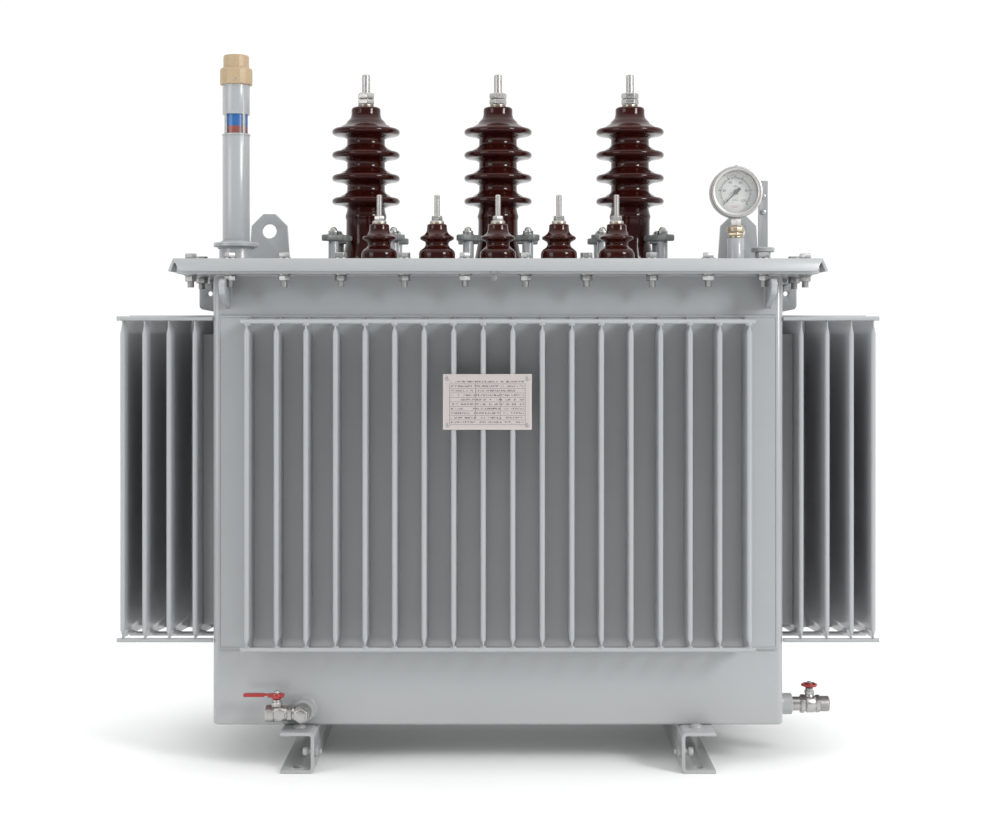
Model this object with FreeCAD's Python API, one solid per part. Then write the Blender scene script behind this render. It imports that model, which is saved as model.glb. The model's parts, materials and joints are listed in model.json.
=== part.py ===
"""Sealed oil-filled distribution transformer with corrugated cooling walls.

Millimetres, +Z up, front towards -Y. The origin is on the ground, at the middle
of the four foot-bolt holes. Each piece is written to parts/NODE.step.
"""
import FreeCAD, Part
import math
import os

from FreeCAD import Rotation, Vector

X_AXIS = Vector(1, 0, 0)
Y_AXIS = Vector(0, 1, 0)
Z_AXIS = Vector(0, 0, 1)
SIDES = (-1, 1)

# Clearances
RUN_GAP = 0.3            # between a piece and the seat that it doesn't touch
HOLE_CLEARANCE = 1.0     # a bolt hole is this much wider than its bolt

# Feet: two bent channels, open outwards
FOOT_HEIGHT = 70
FOOT_WIDTH = 58
FOOT_PLATE = 6
FOOT_BEND = 9
FOOT_WEB_X = 312         # inner face of the web
FOOT_OVERHANG = 54       # past the tank, front and back
FOOT_HOLE_RADIUS = 9
FOOT_HOLE_INSET = 22     # from the channel's end
FOOT_HOLE_OFFSET = 30    # from the web's inner face

# Earth bolts, through the webs near the front
EARTH_BOLT_RADIUS = 5
EARTH_HEAD_RADIUS = 7.5
EARTH_HEAD_THICKNESS = 10
EARTH_HEAD_GAP = 5       # head stands this far off the web
EARTH_NUT_FLATS = 16
EARTH_NUT_THICKNESS = 8
EARTH_BOLT_END = 6       # bolt past the nut
EARTH_BOLT_INSET = 14    # from the channel's front end

# Tank: a steel shell, with a flange round its open top
TANK_WIDTH = 988
TANK_DEPTH = 416
TANK_HEIGHT = 779
TANK_WALL = 6
TANK_CORNER = 12
TANK_BOTTOM_EDGE = 5
RIM_THICKNESS = 14
RIM_PROJECTION = 52
GASKET_THICKNESS = 4
GASKET_INSET = 3
LID_THICKNESS = 8
LID_OVERHANG = 5         # flat lid plate past the rim flange
LID_FLAP_DROP = 22
LID_FLAP_SPREAD = 9
LID_FLAP_THICKNESS = 5
LID_CORNER_CUT = 12      # front and back flaps are this much shorter along their lower edge

# Corrugated walls, front and back
PANEL_SHEET = 2
PANEL_LOW_MARGIN = 133   # plain tank wall below the panel
PANEL_HIGH_MARGIN = 72   # plain tank wall above the panel
PANEL_SIDE_MARGIN = 65   # least plain width beside the fins
FIN_PITCH = 50
FIN_DEPTH = 65
FIN_THICKNESS = 9
FIN_EDGE = 2.6           # thickness where the fin's ends are pressed flat
FIN_PRESS = 28           # length of the pressed end
FIN_RISE = 15            # the fin is this much shorter at its tip, at each end
ROD_RADIUS = 4
ROD_OVERHANG = 11        # past the outermost fins
ROD_TIP_INSET = 6        # rod's middle behind the fin tips

# Cooling wings on the tank's ends
WING_DUCT_DEPTH = 54
WING_DUCT_LENGTH = 161
WING_FIN_OFFSETS = (30.5, 75.5, 117.5, 155.5)   # from the tank's end wall
WING_TOP_RISE = 5        # a wing fin is this much shorter at its tip, at its top end
WING_DUCT_SLOPE = 26     # height of the duct's sloping top
WING_DUCT_RIDGE = 16     # its width along the top
WING_MARGIN = 3          # wing shorter than the panel, at each end
WING_ROD_END = 5         # rod past the duct's end
WING_MID_ROD_INSET = 106 # second rod behind the fin tips
STRIP_THICKNESS = 4
STRIP_INSET = 58         # closing strip behind the fin tips

# High-voltage bushings
HV_COUNT = 3
HV_PITCH = 250
HV_Y = 60
HV_BASE_RADIUS = 44
HV_LOWER_RADIUS = 37.5
HV_CORE_RADIUS = 35.5
HV_SHOULDER_LOW = 15
HV_SHOULDER_HIGH = 44
HV_RING_HEIGHT = 93
HV_RING_BULGE = 1.5
HV_RING_HALF = 4
HV_SHED_COUNT = 4
HV_SHED_RADIUS = 64
HV_SHED_FIRST = 122      # lowest shed above the lid
HV_SHED_PITCH = 43.7
HV_SHED_ROOT = 25        # thickness at the core
HV_SHED_RIM = 5          # radius of the rounded rim
HV_HEAD_RADIUS = 27.5
HV_HEAD_LOW = 280
HV_HEAD_TOP = 300
HV_HEAD_ROUND = 4

# High-voltage terminals
HV_STUD_RADIUS = 8
HV_STUD_HEIGHT = 62      # above the porcelain
HV_WASHER_RADIUS = 14
HV_WASHER_THICKNESS = 3
HV_NUT_FLATS = 27
HV_NUT_THICKNESS = 12

# Clamps that hold the high-voltage bushings down
CLAMP_OFFSET = 56        # post from the bushing's middle, along X and along Y
CLAMP_POST_RADIUS = 9.5
CLAMP_POST_HEIGHT = 44
CLAMP_STUD_RADIUS = 6
CLAMP_NUT_RADIUS = 9
CLAMP_NUT_THICKNESS = 8
CLAW_THICKNESS = 12
CLAW_WIDTH = 24
CLAW_TAIL = 22           # claw past the post's middle, outwards
CLAW_TIP_WIDTH = 14

# Low-voltage bushings
LV_PLACES = (-210, -108, 0, 108, 210)
LV_Y = -140
LV_BASE_RADIUS = 32
LV_BASE_HEIGHT = 13
LV_NECK_RADIUS = 22.5
LV_NECK_HEIGHT = 31
LV_SHED_RADIUS = 30.5
LV_SHED_HEIGHT = 43
LV_SHED_RIM = 3
LV_HEAD_RADIUS = 17.5
LV_HEAD_TOP = 66
LV_WASHER_RADIUS = 13
LV_WASHER_THICKNESS = 3
LV_NUT_FLATS = 17
LV_NUT_THICKNESS = 8
LV_STUD_RADIUS = 5
LV_STUD_HEIGHT = 52      # above the porcelain

# Filler pipe with its oil-level window
FILLER_X = -467
FILLER_Y = -120
PIPE_RADIUS = 24.15
PIPE_WALL = 3.2
NECK_RADIUS = 30
NECK_HEIGHT = 26
NECK_FLANGE_RADIUS = 40
NECK_FLANGE_THICKNESS = 8
PIPE_LENGTH = 303
WINDOW_BOTTOM = 194      # above the neck's flange
WINDOW_HEIGHT = 34
WINDOW_SLOTS = 4
WINDOW_BAR = 5           # width of the bars between the slots
FLOAT_MARGIN = 8         # level float past the window, above and below
FLOAT_SLEEVE = 2
CAP_SKIRT_RADIUS = 29
CAP_SKIRT_HEIGHT = 29
CAP_SEAT = 22            # how far the cap goes over the pipe
CAP_KNOB_RADIUS = 23
CAP_KNOB_HEIGHT = 24

# Lifting lugs
LUG_LEFT_X = -424
LUG_RIGHT_X = 446
LUG_THICKNESS = 12
LUG_BASE_WIDTH = 76
LUG_WIDTH = 66
LUG_HEIGHT = 94
LUG_HOLE_RADIUS = 13.25
LUG_HOLE_HEIGHT = 62
LUG_CLIP = 22            # corners cut off at the top
TANK_LUG_INSET = 27      # from the tank's end
TANK_LUG_THICKNESS = 10
TANK_LUG_REACH = 67
TANK_LUG_HEIGHT = 50
TANK_LUG_NOSE = 26       # height of the lug's outer edge
TANK_LUG_DROP = 8        # below the rim flange
END_LUG_REACH = 60
END_LUG_HEIGHT = 54
END_LUG_NOSE = 48
END_LUG_HOLE_RADIUS = 4.5
END_LUG_HOLE_INSET = 20
LUG_ROUND = 8

# Oil thermometer
GAUGE_X = 427
GAUGE_Y = -100
GAUGE_STUB_RADIUS = 15
GAUGE_STUB_HEIGHT = 43
UNION_RADIUS = 16
UNION_HEIGHT = 22
UNION_COLLAR = 4
GAUGE_NECK_FLATS = 18
GAUGE_NECK_HEIGHT = 15
GAUGE_RADIUS = 46.5
GAUGE_DEPTH = 34
GAUGE_WALL = 3
GAUGE_BEZEL = 9          # width of the front ring
GAUGE_BEZEL_THICKNESS = 5
GLASS_THICKNESS = 2.5
DIAL_THICKNESS = 2
DIAL_SETBACK = 14        # dial's face behind the glass
POINTER_THICKNESS = 1.2
POINTER_LENGTH = 29
POINTER_TAIL = 9
POINTER_WIDTH = 4
POINTER_HUB_RADIUS = 4.5
POINTER_PIN_RADIUS = 1.5
POINTER_ANGLE = 225      # clockwise from straight up
POINTER_GAP = 5.6        # in front of the dial

# Pocket with an upright flat bar
POCKET_X = 482
POCKET_Y = -62
POCKET_STUB_RADIUS = 14
POCKET_STUB_HEIGHT = 20
POCKET_DISC_RADIUS = 21
POCKET_DISC_THICKNESS = 9
BAR_WIDTH = 17
BAR_THICKNESS = 5
BAR_HEIGHT = 121
BAR_HOLE_RADIUS = 3.5
BAR_HOLES = (64, 93)     # above the bar's foot

# Nameplate on the fin tips
PLATE_X = -18
PLATE_WIDTH = 150
PLATE_HEIGHT = 94
PLATE_THICKNESS = 2
PLATE_BOTTOM = 515       # above the tank's underside

# Drain ball valve, front left
DRAIN_X = -335
DRAIN_HEIGHT = 28.5      # axis above the tank's underside
DRAIN_BOSS_RADIUS = 19
DRAIN_REACH = 35         # tee's middle in front of the boss's seat
DRAIN_TEE_RADIUS = 13
DRAIN_PIPE_RADIUS = 10
DRAIN_PLUG_FLATS = 19
DRAIN_PLUG_LENGTH = 13
VALVE_START = 16         # valve body from the tee's middle
VALVE_RING_LENGTH = 8
VALVE_RING_RADIUS = 13
VALVE_BODY_LENGTH = 38
VALVE_BODY_RADIUS = 13.5
VALVE_BORE_RADIUS = 9.3
VALVE_BORE_DEPTH = 14
VALVE_STEM_RADIUS = 4
VALVE_STEM_HEIGHT = 39   # above the valve's axis
VALVE_GLAND_RADIUS = 8
VALVE_GLAND_HEIGHT = 24  # above the valve's axis
LEVER_HUB_RADIUS = 9
LEVER_HUB_HEIGHT = 9
LEVER_LENGTH = 57
LEVER_WIDTH = 13
LEVER_THICKNESS = 4
LEVER_LIFT = 1.5         # lever's hub above the gland

# Sampling gate valve, right end
GATE_Y = -160
GATE_HEIGHT = 26.5       # axis above the tank's underside
GATE_BOSS_RADIUS = 18.5
GATE_BOSS_LENGTH = 22
GATE_NIPPLE_RADIUS = 12.2
GATE_NIPPLE_LENGTH = 17
GATE_BODY_RADIUS = 15.5
GATE_BODY_LENGTH = 29
GATE_OUTLET_RADIUS = 13.7
GATE_OUTLET_LENGTH = 20
GATE_BORE_RADIUS = 9.3
GATE_BORE_DEPTH = 16
GATE_BONNET_RADIUS = 9
GATE_BONNET_HEIGHT = 28.5  # above the valve's axis
GATE_STEM_RADIUS = 3
GATE_STEM_HEIGHT = 39.5  # above the valve's axis
WHEEL_RADIUS = 14.5
WHEEL_THICKNESS = 6
WHEEL_LIFT = 1.5         # handwheel above the bonnet

# Worked out from the sizes above
FRONT = TANK_DEPTH / 2 + PANEL_SHEET            # corrugated sheet's outer face
END = TANK_WIDTH / 2
TANK_TOP = FOOT_HEIGHT + TANK_HEIGHT
RIM_TOP = TANK_TOP + RIM_THICKNESS
LID_TOP = RIM_TOP + GASKET_THICKNESS + LID_THICKNESS
RIM_X = END + RIM_PROJECTION
RIM_Y = TANK_DEPTH / 2 + RIM_PROJECTION
PANEL_BOTTOM = FOOT_HEIGHT + PANEL_LOW_MARGIN
PANEL_HEIGHT = TANK_HEIGHT - PANEL_LOW_MARGIN - PANEL_HIGH_MARGIN
FOOT_LENGTH = TANK_DEPTH + 2 * FOOT_OVERHANG
FIN_COUNT = int((TANK_WIDTH - 2 * PANEL_SIDE_MARGIN) / FIN_PITCH) + 1
FIN_SPAN = (FIN_COUNT - 1) * FIN_PITCH
WING_BOTTOM = PANEL_BOTTOM + WING_MARGIN
WING_HEIGHT = PANEL_HEIGHT - 2 * WING_MARGIN


def box(x0, x1, y0, y1, z0, z1):
    """Box between two corners, given in any order."""
    low = Vector(min(x0, x1), min(y0, y1), min(z0, z1))
    return Part.makeBox(abs(x1 - x0), abs(y1 - y0), abs(z1 - z0), low)


def rod(radius, start, end):
    """Round bar from one point to another."""
    along = end.sub(start)
    return Part.makeCylinder(radius, along.Length, start, along)


def post(radius, x, y, z0, z1):
    """Upright round bar."""
    return rod(radius, Vector(x, y, z0), Vector(x, y, z1))


def prism(points, direction):
    """Flat outline pushed along a direction."""
    wire = Part.makePolygon(list(points) + [points[0]])
    return Part.Face(wire).extrude(direction)


def hexagon(flats, start, direction):
    """Hexagonal bar with its first corner square to the direction."""
    corner_radius = flats / math.sqrt(3)
    turn = Rotation(Z_AXIS, direction)
    corners = []
    for step in range(6):
        angle = math.radians(60 * step)
        flat = Vector(corner_radius * math.cos(angle), corner_radius * math.sin(angle), 0)
        corners.append(start.add(turn.multVec(flat)))
    return prism(corners, direction)


def tube(outer, inner, x, y, z0, z1):
    """Upright tube."""
    return post(outer, x, y, z0, z1).cut(post(inner, x, y, z0, z1))


def fuse(*shapes):
    """One solid from shapes that share faces or overlap."""
    joined = shapes[0].multiFuse(list(shapes[1:]))
    return joined.removeSplitter()


def moved(shape, x, y, z):
    """Copy of a shape, shifted."""
    copy = shape.copy()
    copy.translate(Vector(x, y, z))
    return copy


def turned(shape, degrees):
    """Copy of a shape, turned about the object's upright axis."""
    copy = shape.copy()
    copy.rotate(Vector(0, 0, 0), Z_AXIS, degrees)
    return copy


def spun(outline, x, y, z):
    """Solid of revolution about an upright axis, from edges in the XZ plane."""
    face = Part.Face(Part.Wire(outline))
    solid = face.revolve(Vector(0, 0, 0), Z_AXIS, 360)
    return moved(solid, x, y, z)


def fillet_where(shape, radius, wanted):
    """Round the edges for which wanted(edge) holds."""
    edges = [edge for edge in shape.Edges if wanted(edge)]
    return shape.makeFillet(radius, edges)


def runs_along(edge, axis):
    """Whether an edge is straight and parallel to an axis."""
    if not isinstance(edge.Curve, Part.Line):
        return False
    return abs(edge.tangentAt(edge.FirstParameter).dot(axis)) > 1 - 1e-6


def lines(points):
    """Straight edges through (radius, height) pairs in the XZ plane."""
    corners = [Vector(radius, 0, height) for radius, height in points]
    return [Part.makeLine(a, b) for a, b in zip(corners, corners[1:])]


def write(node, *solids):
    """Write a node's solids to its own file."""
    shape = solids[0] if len(solids) == 1 else Part.makeCompound(list(solids))
    shape.exportStep("parts/" + node + ".step")


# Feet and earth bolts

def foot_channel(side):
    """Bent channel with its web inside and its flanges pointing outwards."""
    half = FOOT_LENGTH / 2
    outer = box(0, FOOT_WIDTH, -half, half, 0, FOOT_HEIGHT)
    outer = fillet_where(outer, FOOT_BEND, lambda e: runs_along(e, Y_AXIS) and e.CenterOfMass.x < 1)
    inner = box(FOOT_PLATE, FOOT_WIDTH + FOOT_PLATE, -half, half,
                FOOT_PLATE, FOOT_HEIGHT - FOOT_PLATE)
    inner = fillet_where(inner, FOOT_BEND - FOOT_PLATE,
                         lambda e: runs_along(e, Y_AXIS) and e.CenterOfMass.x < FOOT_PLATE + 1)
    channel = outer.cut(inner)
    for end in SIDES:
        hole_y = end * (half - FOOT_HOLE_INSET)
        channel = channel.cut(post(FOOT_HOLE_RADIUS, FOOT_HOLE_OFFSET, hole_y, 0, FOOT_PLATE))
    bolt_y = EARTH_BOLT_INSET - half
    bolt_hole = rod(EARTH_BOLT_RADIUS + HOLE_CLEARANCE / 2,
                    Vector(0, bolt_y, FOOT_HEIGHT / 2), Vector(FOOT_PLATE, bolt_y, FOOT_HEIGHT / 2))
    channel = moved(channel.cut(bolt_hole), FOOT_WEB_X, 0, 0)
    return channel if side > 0 else channel.mirror(Vector(0, 0, 0), X_AXIS)


def earth_bolt(side):
    """Bolt through a foot's web: head outside the web, nut inside."""
    y = EARTH_BOLT_INSET - FOOT_LENGTH / 2
    z = FOOT_HEIGHT / 2
    outer_face = FOOT_WEB_X + FOOT_PLATE
    nut_start = FOOT_WEB_X - EARTH_NUT_THICKNESS
    head_start = outer_face + EARTH_HEAD_GAP
    head = rod(EARTH_HEAD_RADIUS, Vector(head_start, y, z),
               Vector(head_start + EARTH_HEAD_THICKNESS, y, z))
    shank = rod(EARTH_BOLT_RADIUS, Vector(nut_start - EARTH_BOLT_END, y, z),
                Vector(head_start, y, z))
    nut = hexagon(EARTH_NUT_FLATS, Vector(nut_start, y, z), Vector(EARTH_NUT_THICKNESS, 0, 0))
    bolt = fuse(head, shank, nut)
    return bolt if side > 0 else bolt.mirror(Vector(0, 0, 0), X_AXIS)


# Tank, flange, gasket and lid

def tank_body():
    """Open-topped shell with rounded lower edges."""
    half = TANK_DEPTH / 2
    outer = box(-END, END, -half, half, FOOT_HEIGHT, TANK_TOP)
    outer = fillet_where(outer, TANK_CORNER, lambda e: runs_along(e, Z_AXIS))
    outer = fillet_where(outer, TANK_BOTTOM_EDGE, lambda e: e.CenterOfMass.z < FOOT_HEIGHT + 1)
    inner = box(TANK_WALL - END, END - TANK_WALL, TANK_WALL - half, half - TANK_WALL,
                FOOT_HEIGHT + TANK_WALL, TANK_TOP)
    inner = fillet_where(inner, TANK_CORNER - TANK_WALL, lambda e: runs_along(e, Z_AXIS))
    return outer.cut(inner)


def rim_flange():
    """Flat ring welded round the tank's open top."""
    outer = box(-RIM_X, RIM_X, -RIM_Y, RIM_Y, TANK_TOP, RIM_TOP)
    inner_x = END - TANK_WALL
    inner_y = TANK_DEPTH / 2 - TANK_WALL
    return outer.cut(box(-inner_x, inner_x, -inner_y, inner_y, TANK_TOP, RIM_TOP))


def lid_gasket():
    """Sealing ring between the rim flange and the lid."""
    outer_x = RIM_X - GASKET_INSET
    outer_y = RIM_Y - GASKET_INSET
    top = RIM_TOP + GASKET_THICKNESS
    inner_x = END - TANK_WALL
    inner_y = TANK_DEPTH / 2 - TANK_WALL
    ring = box(-outer_x, outer_x, -outer_y, outer_y, RIM_TOP, top)
    return ring.cut(box(-inner_x, inner_x, -inner_y, inner_y, RIM_TOP, top))


def lid_flap(half_width, half_length, corner_cut):
    """Bent-down edge of the lid along Y, on its +X side, with its ends cut at a slant."""
    slope = LID_FLAP_SPREAD
    low = LID_TOP - LID_FLAP_DROP
    outline = [Vector(half_width - LID_FLAP_THICKNESS, -half_length, LID_TOP),
               Vector(half_width, -half_length, LID_TOP),
               Vector(half_width + slope, -half_length, low),
               Vector(half_width + slope - LID_FLAP_THICKNESS, -half_length, low)]
    flap = prism(outline, Vector(0, 2 * half_length, 0))
    inner = half_width - LID_FLAP_THICKNESS
    ends = [Vector(inner, -half_length, LID_TOP), Vector(inner, half_length, LID_TOP),
            Vector(inner, half_length - corner_cut, low), Vector(inner, corner_cut - half_length, low)]
    return flap.common(prism(ends, Vector(LID_FLAP_THICKNESS + slope, 0, 0)))


def lid():
    """Flat plate whose four edges are bent down, with open corners."""
    half_x = RIM_X + LID_OVERHANG
    half_y = RIM_Y + LID_OVERHANG
    plate = box(-half_x, half_x, -half_y, half_y, LID_TOP - LID_THICKNESS, LID_TOP)
    side_flap = lid_flap(half_x, half_y, 0)
    front_flap = lid_flap(half_y, half_x, LID_CORNER_CUT)
    return fuse(plate, side_flap, turned(side_flap, 180),
                turned(front_flap, -90), turned(front_flap, 90))


# Fins

def pressed_fin(depth, height, top_rise=FIN_RISE):
    """Upright fin from the origin towards -Y, round at its tip and pressed flat at its ends."""
    half = FIN_THICKNESS / 2
    edge = FIN_EDGE / 2
    side = prism([Vector(-half, 0, 0), Vector(-half, -depth, FIN_RISE),
                  Vector(-half, -depth, height - top_rise), Vector(-half, 0, height)],
                 Vector(FIN_THICKNESS, 0, 0))
    front = prism([Vector(edge, 0, 0), Vector(half, 0, FIN_PRESS), Vector(half, 0, height - FIN_PRESS),
                   Vector(edge, 0, height), Vector(-edge, 0, height),
                   Vector(-half, 0, height - FIN_PRESS), Vector(-half, 0, FIN_PRESS),
                   Vector(-edge, 0, 0)], Vector(0, -depth, 0))
    plan = fuse(box(-half, half, half - depth, 0, 0, height), post(half, 0, half - depth, 0, height))
    return side.common(front).common(plan)


def rod_rise(behind_tip, depth, rise):
    """Height of a rod's middle above the fin's foot, just under the fin's sloping end."""
    slope = rise / depth
    edge_height = slope * (depth - behind_tip)
    return edge_height - (ROD_RADIUS + RUN_GAP) * math.hypot(1, slope)


def fin_panel(turn):
    """Corrugated wall: a thin sheet with its row of fins."""
    tank_face = -TANK_DEPTH / 2
    sheet = box(-END + TANK_CORNER, END - TANK_CORNER, tank_face - PANEL_SHEET, tank_face,
                PANEL_BOTTOM, PANEL_BOTTOM + PANEL_HEIGHT)
    fin = pressed_fin(FIN_DEPTH, PANEL_HEIGHT)
    fins = [moved(fin, index * FIN_PITCH - FIN_SPAN / 2, -FRONT, PANEL_BOTTOM)
            for index in range(FIN_COUNT)]
    return turned(fuse(sheet, *fins), turn)


def rod_heights(bottom, height, behind_tip, depth, top_rise=FIN_RISE):
    """The two heights at which a rod runs, below and above the fins."""
    return (bottom + rod_rise(behind_tip, depth, FIN_RISE),
            bottom + height - rod_rise(behind_tip, depth, top_rise))


def fin_panel_rods():
    """Rods across the front and back fin tips."""
    reach = FIN_SPAN / 2 + ROD_OVERHANG
    rods = []
    for z in rod_heights(PANEL_BOTTOM, PANEL_HEIGHT, ROD_TIP_INSET, FIN_DEPTH):
        for side in SIDES:
            y = side * (FRONT + FIN_DEPTH - ROD_TIP_INSET)
            rods.append(rod(ROD_RADIUS, Vector(-reach, y, z), Vector(reach, y, z)))
    return rods


# Cooling wings

def wing_duct(side):
    """Flat oil duct that carries a wing's fins, narrowing at its top."""
    half = WING_DUCT_DEPTH / 2
    ridge = WING_DUCT_RIDGE / 2
    top = WING_BOTTOM + WING_HEIGHT
    x = side * END
    outline = [Vector(x, -half, WING_BOTTOM), Vector(x, half, WING_BOTTOM),
               Vector(x, half, top - WING_DUCT_SLOPE), Vector(x, ridge, top),
               Vector(x, -ridge, top), Vector(x, -half, top - WING_DUCT_SLOPE)]
    return prism(outline, Vector(side * WING_DUCT_LENGTH, 0, 0))


def wing_fins(side):
    """Fins in front of and behind a wing's duct."""
    fin = moved(pressed_fin(FRONT, WING_HEIGHT, WING_TOP_RISE), 0, 0, WING_BOTTOM)
    duct = wing_duct(side)
    fins = []
    for offset in WING_FIN_OFFSETS:
        for turn in (0, 180):
            fins.append(moved(turned(fin, turn), side * (END + offset), 0, 0).cut(duct))
    return fins


def wing_rods(side):
    """Rods that tie a wing's fins to each other and to the tank."""
    rods = []
    for inset in (ROD_TIP_INSET, WING_MID_ROD_INSET):
        for z in rod_heights(WING_BOTTOM, WING_HEIGHT, inset, FRONT, WING_TOP_RISE):
            for face in SIDES:
                y = face * (FRONT - inset)
                rods.append(rod(ROD_RADIUS, Vector(side * (END - wall_setback(y)), y, z),
                                Vector(side * (END + WING_DUCT_LENGTH + WING_ROD_END), y, z)))
    return rods


def wall_setback(y):
    """How far the tank's rounded corner lies inside its end wall at this depth."""
    into_corner = abs(y) + ROD_RADIUS - (TANK_DEPTH / 2 - TANK_CORNER)
    if into_corner <= 0:
        return 0
    inside = max(TANK_CORNER ** 2 - into_corner ** 2, 0)
    return TANK_CORNER - math.sqrt(inside) - RUN_GAP if into_corner < TANK_CORNER else 0


def wing_strips():
    """Narrow plates that close the gaps between the tank and the innermost fins."""
    outer = END + WING_FIN_OFFSETS[0] - FIN_THICKNESS / 2
    strips = []
    for side in SIDES:
        for face in SIDES:
            y = face * (FRONT - STRIP_INSET)
            strips.append(box(side * END, side * outer, y - STRIP_THICKNESS / 2,
                              y + STRIP_THICKNESS / 2, WING_BOTTOM + FIN_PRESS,
                              WING_BOTTOM + WING_HEIGHT - FIN_PRESS))
    return strips


# High-voltage bushings

def shed_edges(height):
    """Outline of one shed, from its lower root round its rim to its upper root."""
    rim_middle = HV_SHED_RADIUS - HV_SHED_RIM
    low_root = Vector(HV_CORE_RADIUS, 0, height - HV_SHED_ROOT / 2)
    low_rim = Vector(rim_middle, 0, height - HV_SHED_RIM)
    nose = Vector(HV_SHED_RADIUS, 0, height)
    high_rim = Vector(rim_middle, 0, height + HV_SHED_RIM)
    high_root = Vector(HV_CORE_RADIUS, 0, height + HV_SHED_ROOT / 2)
    return [Part.makeLine(low_root, low_rim), Part.Arc(low_rim, nose, high_rim).toShape(),
            Part.makeLine(high_rim, high_root)]


def hv_porcelain():
    """Porcelain with a flared foot, a ring, a stack of sheds and a coned head."""
    ring = HV_RING_HEIGHT
    edges = lines([(0, 0), (HV_BASE_RADIUS, 0), (HV_BASE_RADIUS, HV_SHOULDER_LOW),
                   (HV_LOWER_RADIUS, HV_SHOULDER_HIGH), (HV_LOWER_RADIUS, ring - HV_RING_HALF),
                   (HV_LOWER_RADIUS + HV_RING_BULGE, ring),
                   (HV_LOWER_RADIUS, ring + HV_RING_HALF),
                   (HV_CORE_RADIUS, HV_SHED_FIRST - HV_SHED_ROOT / 2)])
    shed_heights = [HV_SHED_FIRST + index * HV_SHED_PITCH for index in range(HV_SHED_COUNT)]
    for index, height in enumerate(shed_heights):
        edges += shed_edges(height)
        if index + 1 < HV_SHED_COUNT:
            next_root = shed_heights[index + 1] - HV_SHED_ROOT / 2
            edges += lines([(HV_CORE_RADIUS, height + HV_SHED_ROOT / 2),
                            (HV_CORE_RADIUS, next_root)])
    last_root = shed_heights[-1] + HV_SHED_ROOT / 2
    edges += lines([(HV_CORE_RADIUS, last_root), (HV_HEAD_RADIUS, HV_HEAD_LOW),
                    (HV_HEAD_RADIUS, HV_HEAD_TOP - HV_HEAD_ROUND),
                    (HV_HEAD_RADIUS - HV_HEAD_ROUND, HV_HEAD_TOP), (0, HV_HEAD_TOP), (0, 0)])
    return edges


def hv_places():
    """X of each high-voltage bushing."""
    return [(index - (HV_COUNT - 1) / 2) * HV_PITCH for index in range(HV_COUNT)]


def hv_terminal(x):
    """Threaded stud with a washer and two nuts."""
    seat = LID_TOP + HV_HEAD_TOP
    nut_seat = seat + HV_WASHER_THICKNESS
    nuts = hexagon(HV_NUT_FLATS, Vector(x, HV_Y, nut_seat), Vector(0, 0, 2 * HV_NUT_THICKNESS))
    return fuse(post(HV_WASHER_RADIUS, x, HV_Y, seat, nut_seat), nuts,
                post(HV_STUD_RADIUS, x, HV_Y, seat, seat + HV_STUD_HEIGHT))


def claw_inner_reach():
    """Distance from the bushing's middle at which a claw's tip stops."""
    fall = (HV_BASE_RADIUS - HV_LOWER_RADIUS) / (HV_SHOULDER_HIGH - HV_SHOULDER_LOW)
    above = max(HV_SHOULDER_HIGH - CLAMP_POST_HEIGHT, 0)
    return HV_LOWER_RADIUS + fall * above + RUN_GAP


def clamp_claw():
    """Cast claw, drawn along +X with the bushing's middle at the origin."""
    inner = claw_inner_reach()
    stud_at = CLAMP_OFFSET * math.sqrt(2)
    half = CLAW_WIDTH / 2
    tip = CLAW_TIP_WIDTH / 2
    outline = [Vector(inner, -tip, 0), Vector(stud_at - half, -half, 0),
               Vector(stud_at + CLAW_TAIL - tip, -half, 0), Vector(stud_at + CLAW_TAIL, -tip, 0),
               Vector(stud_at + CLAW_TAIL, tip, 0), Vector(stud_at + CLAW_TAIL - tip, half, 0),
               Vector(stud_at - half, half, 0), Vector(inner, tip, 0)]
    claw = prism(outline, Vector(0, 0, CLAW_THICKNESS))
    core = post(inner, 0, 0, 0, CLAW_THICKNESS)
    hole = post(CLAMP_STUD_RADIUS + HOLE_CLEARANCE / 2, stud_at, 0, 0, CLAW_THICKNESS)
    return claw.cut(core).cut(hole)


def clamp_claws():
    """Four claws round each high-voltage bushing."""
    claw = clamp_claw()
    claws = []
    for x in hv_places():
        for quarter in range(4):
            claws.append(moved(turned(claw, 45 + 90 * quarter), x, HV_Y,
                               LID_TOP + CLAMP_POST_HEIGHT))
    return claws


def clamp_posts():
    """Posts on the lid, each with its stud and cap nut over a claw."""
    claw_seat = LID_TOP + CLAMP_POST_HEIGHT
    nut_seat = claw_seat + CLAW_THICKNESS
    nut_top = nut_seat + CLAMP_NUT_THICKNESS
    posts = []
    for centre in hv_places():
        for side in SIDES:
            for face in SIDES:
                x = centre + side * CLAMP_OFFSET
                y = HV_Y + face * CLAMP_OFFSET
                dome = Part.makeSphere(CLAMP_STUD_RADIUS, Vector(x, y, nut_top))
                posts.append(fuse(post(CLAMP_POST_RADIUS, x, y, LID_TOP, claw_seat),
                                  post(CLAMP_STUD_RADIUS, x, y, claw_seat, nut_top),
                                  post(CLAMP_NUT_RADIUS, x, y, nut_seat, nut_top), dome))
    return posts


# Low-voltage bushings

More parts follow.
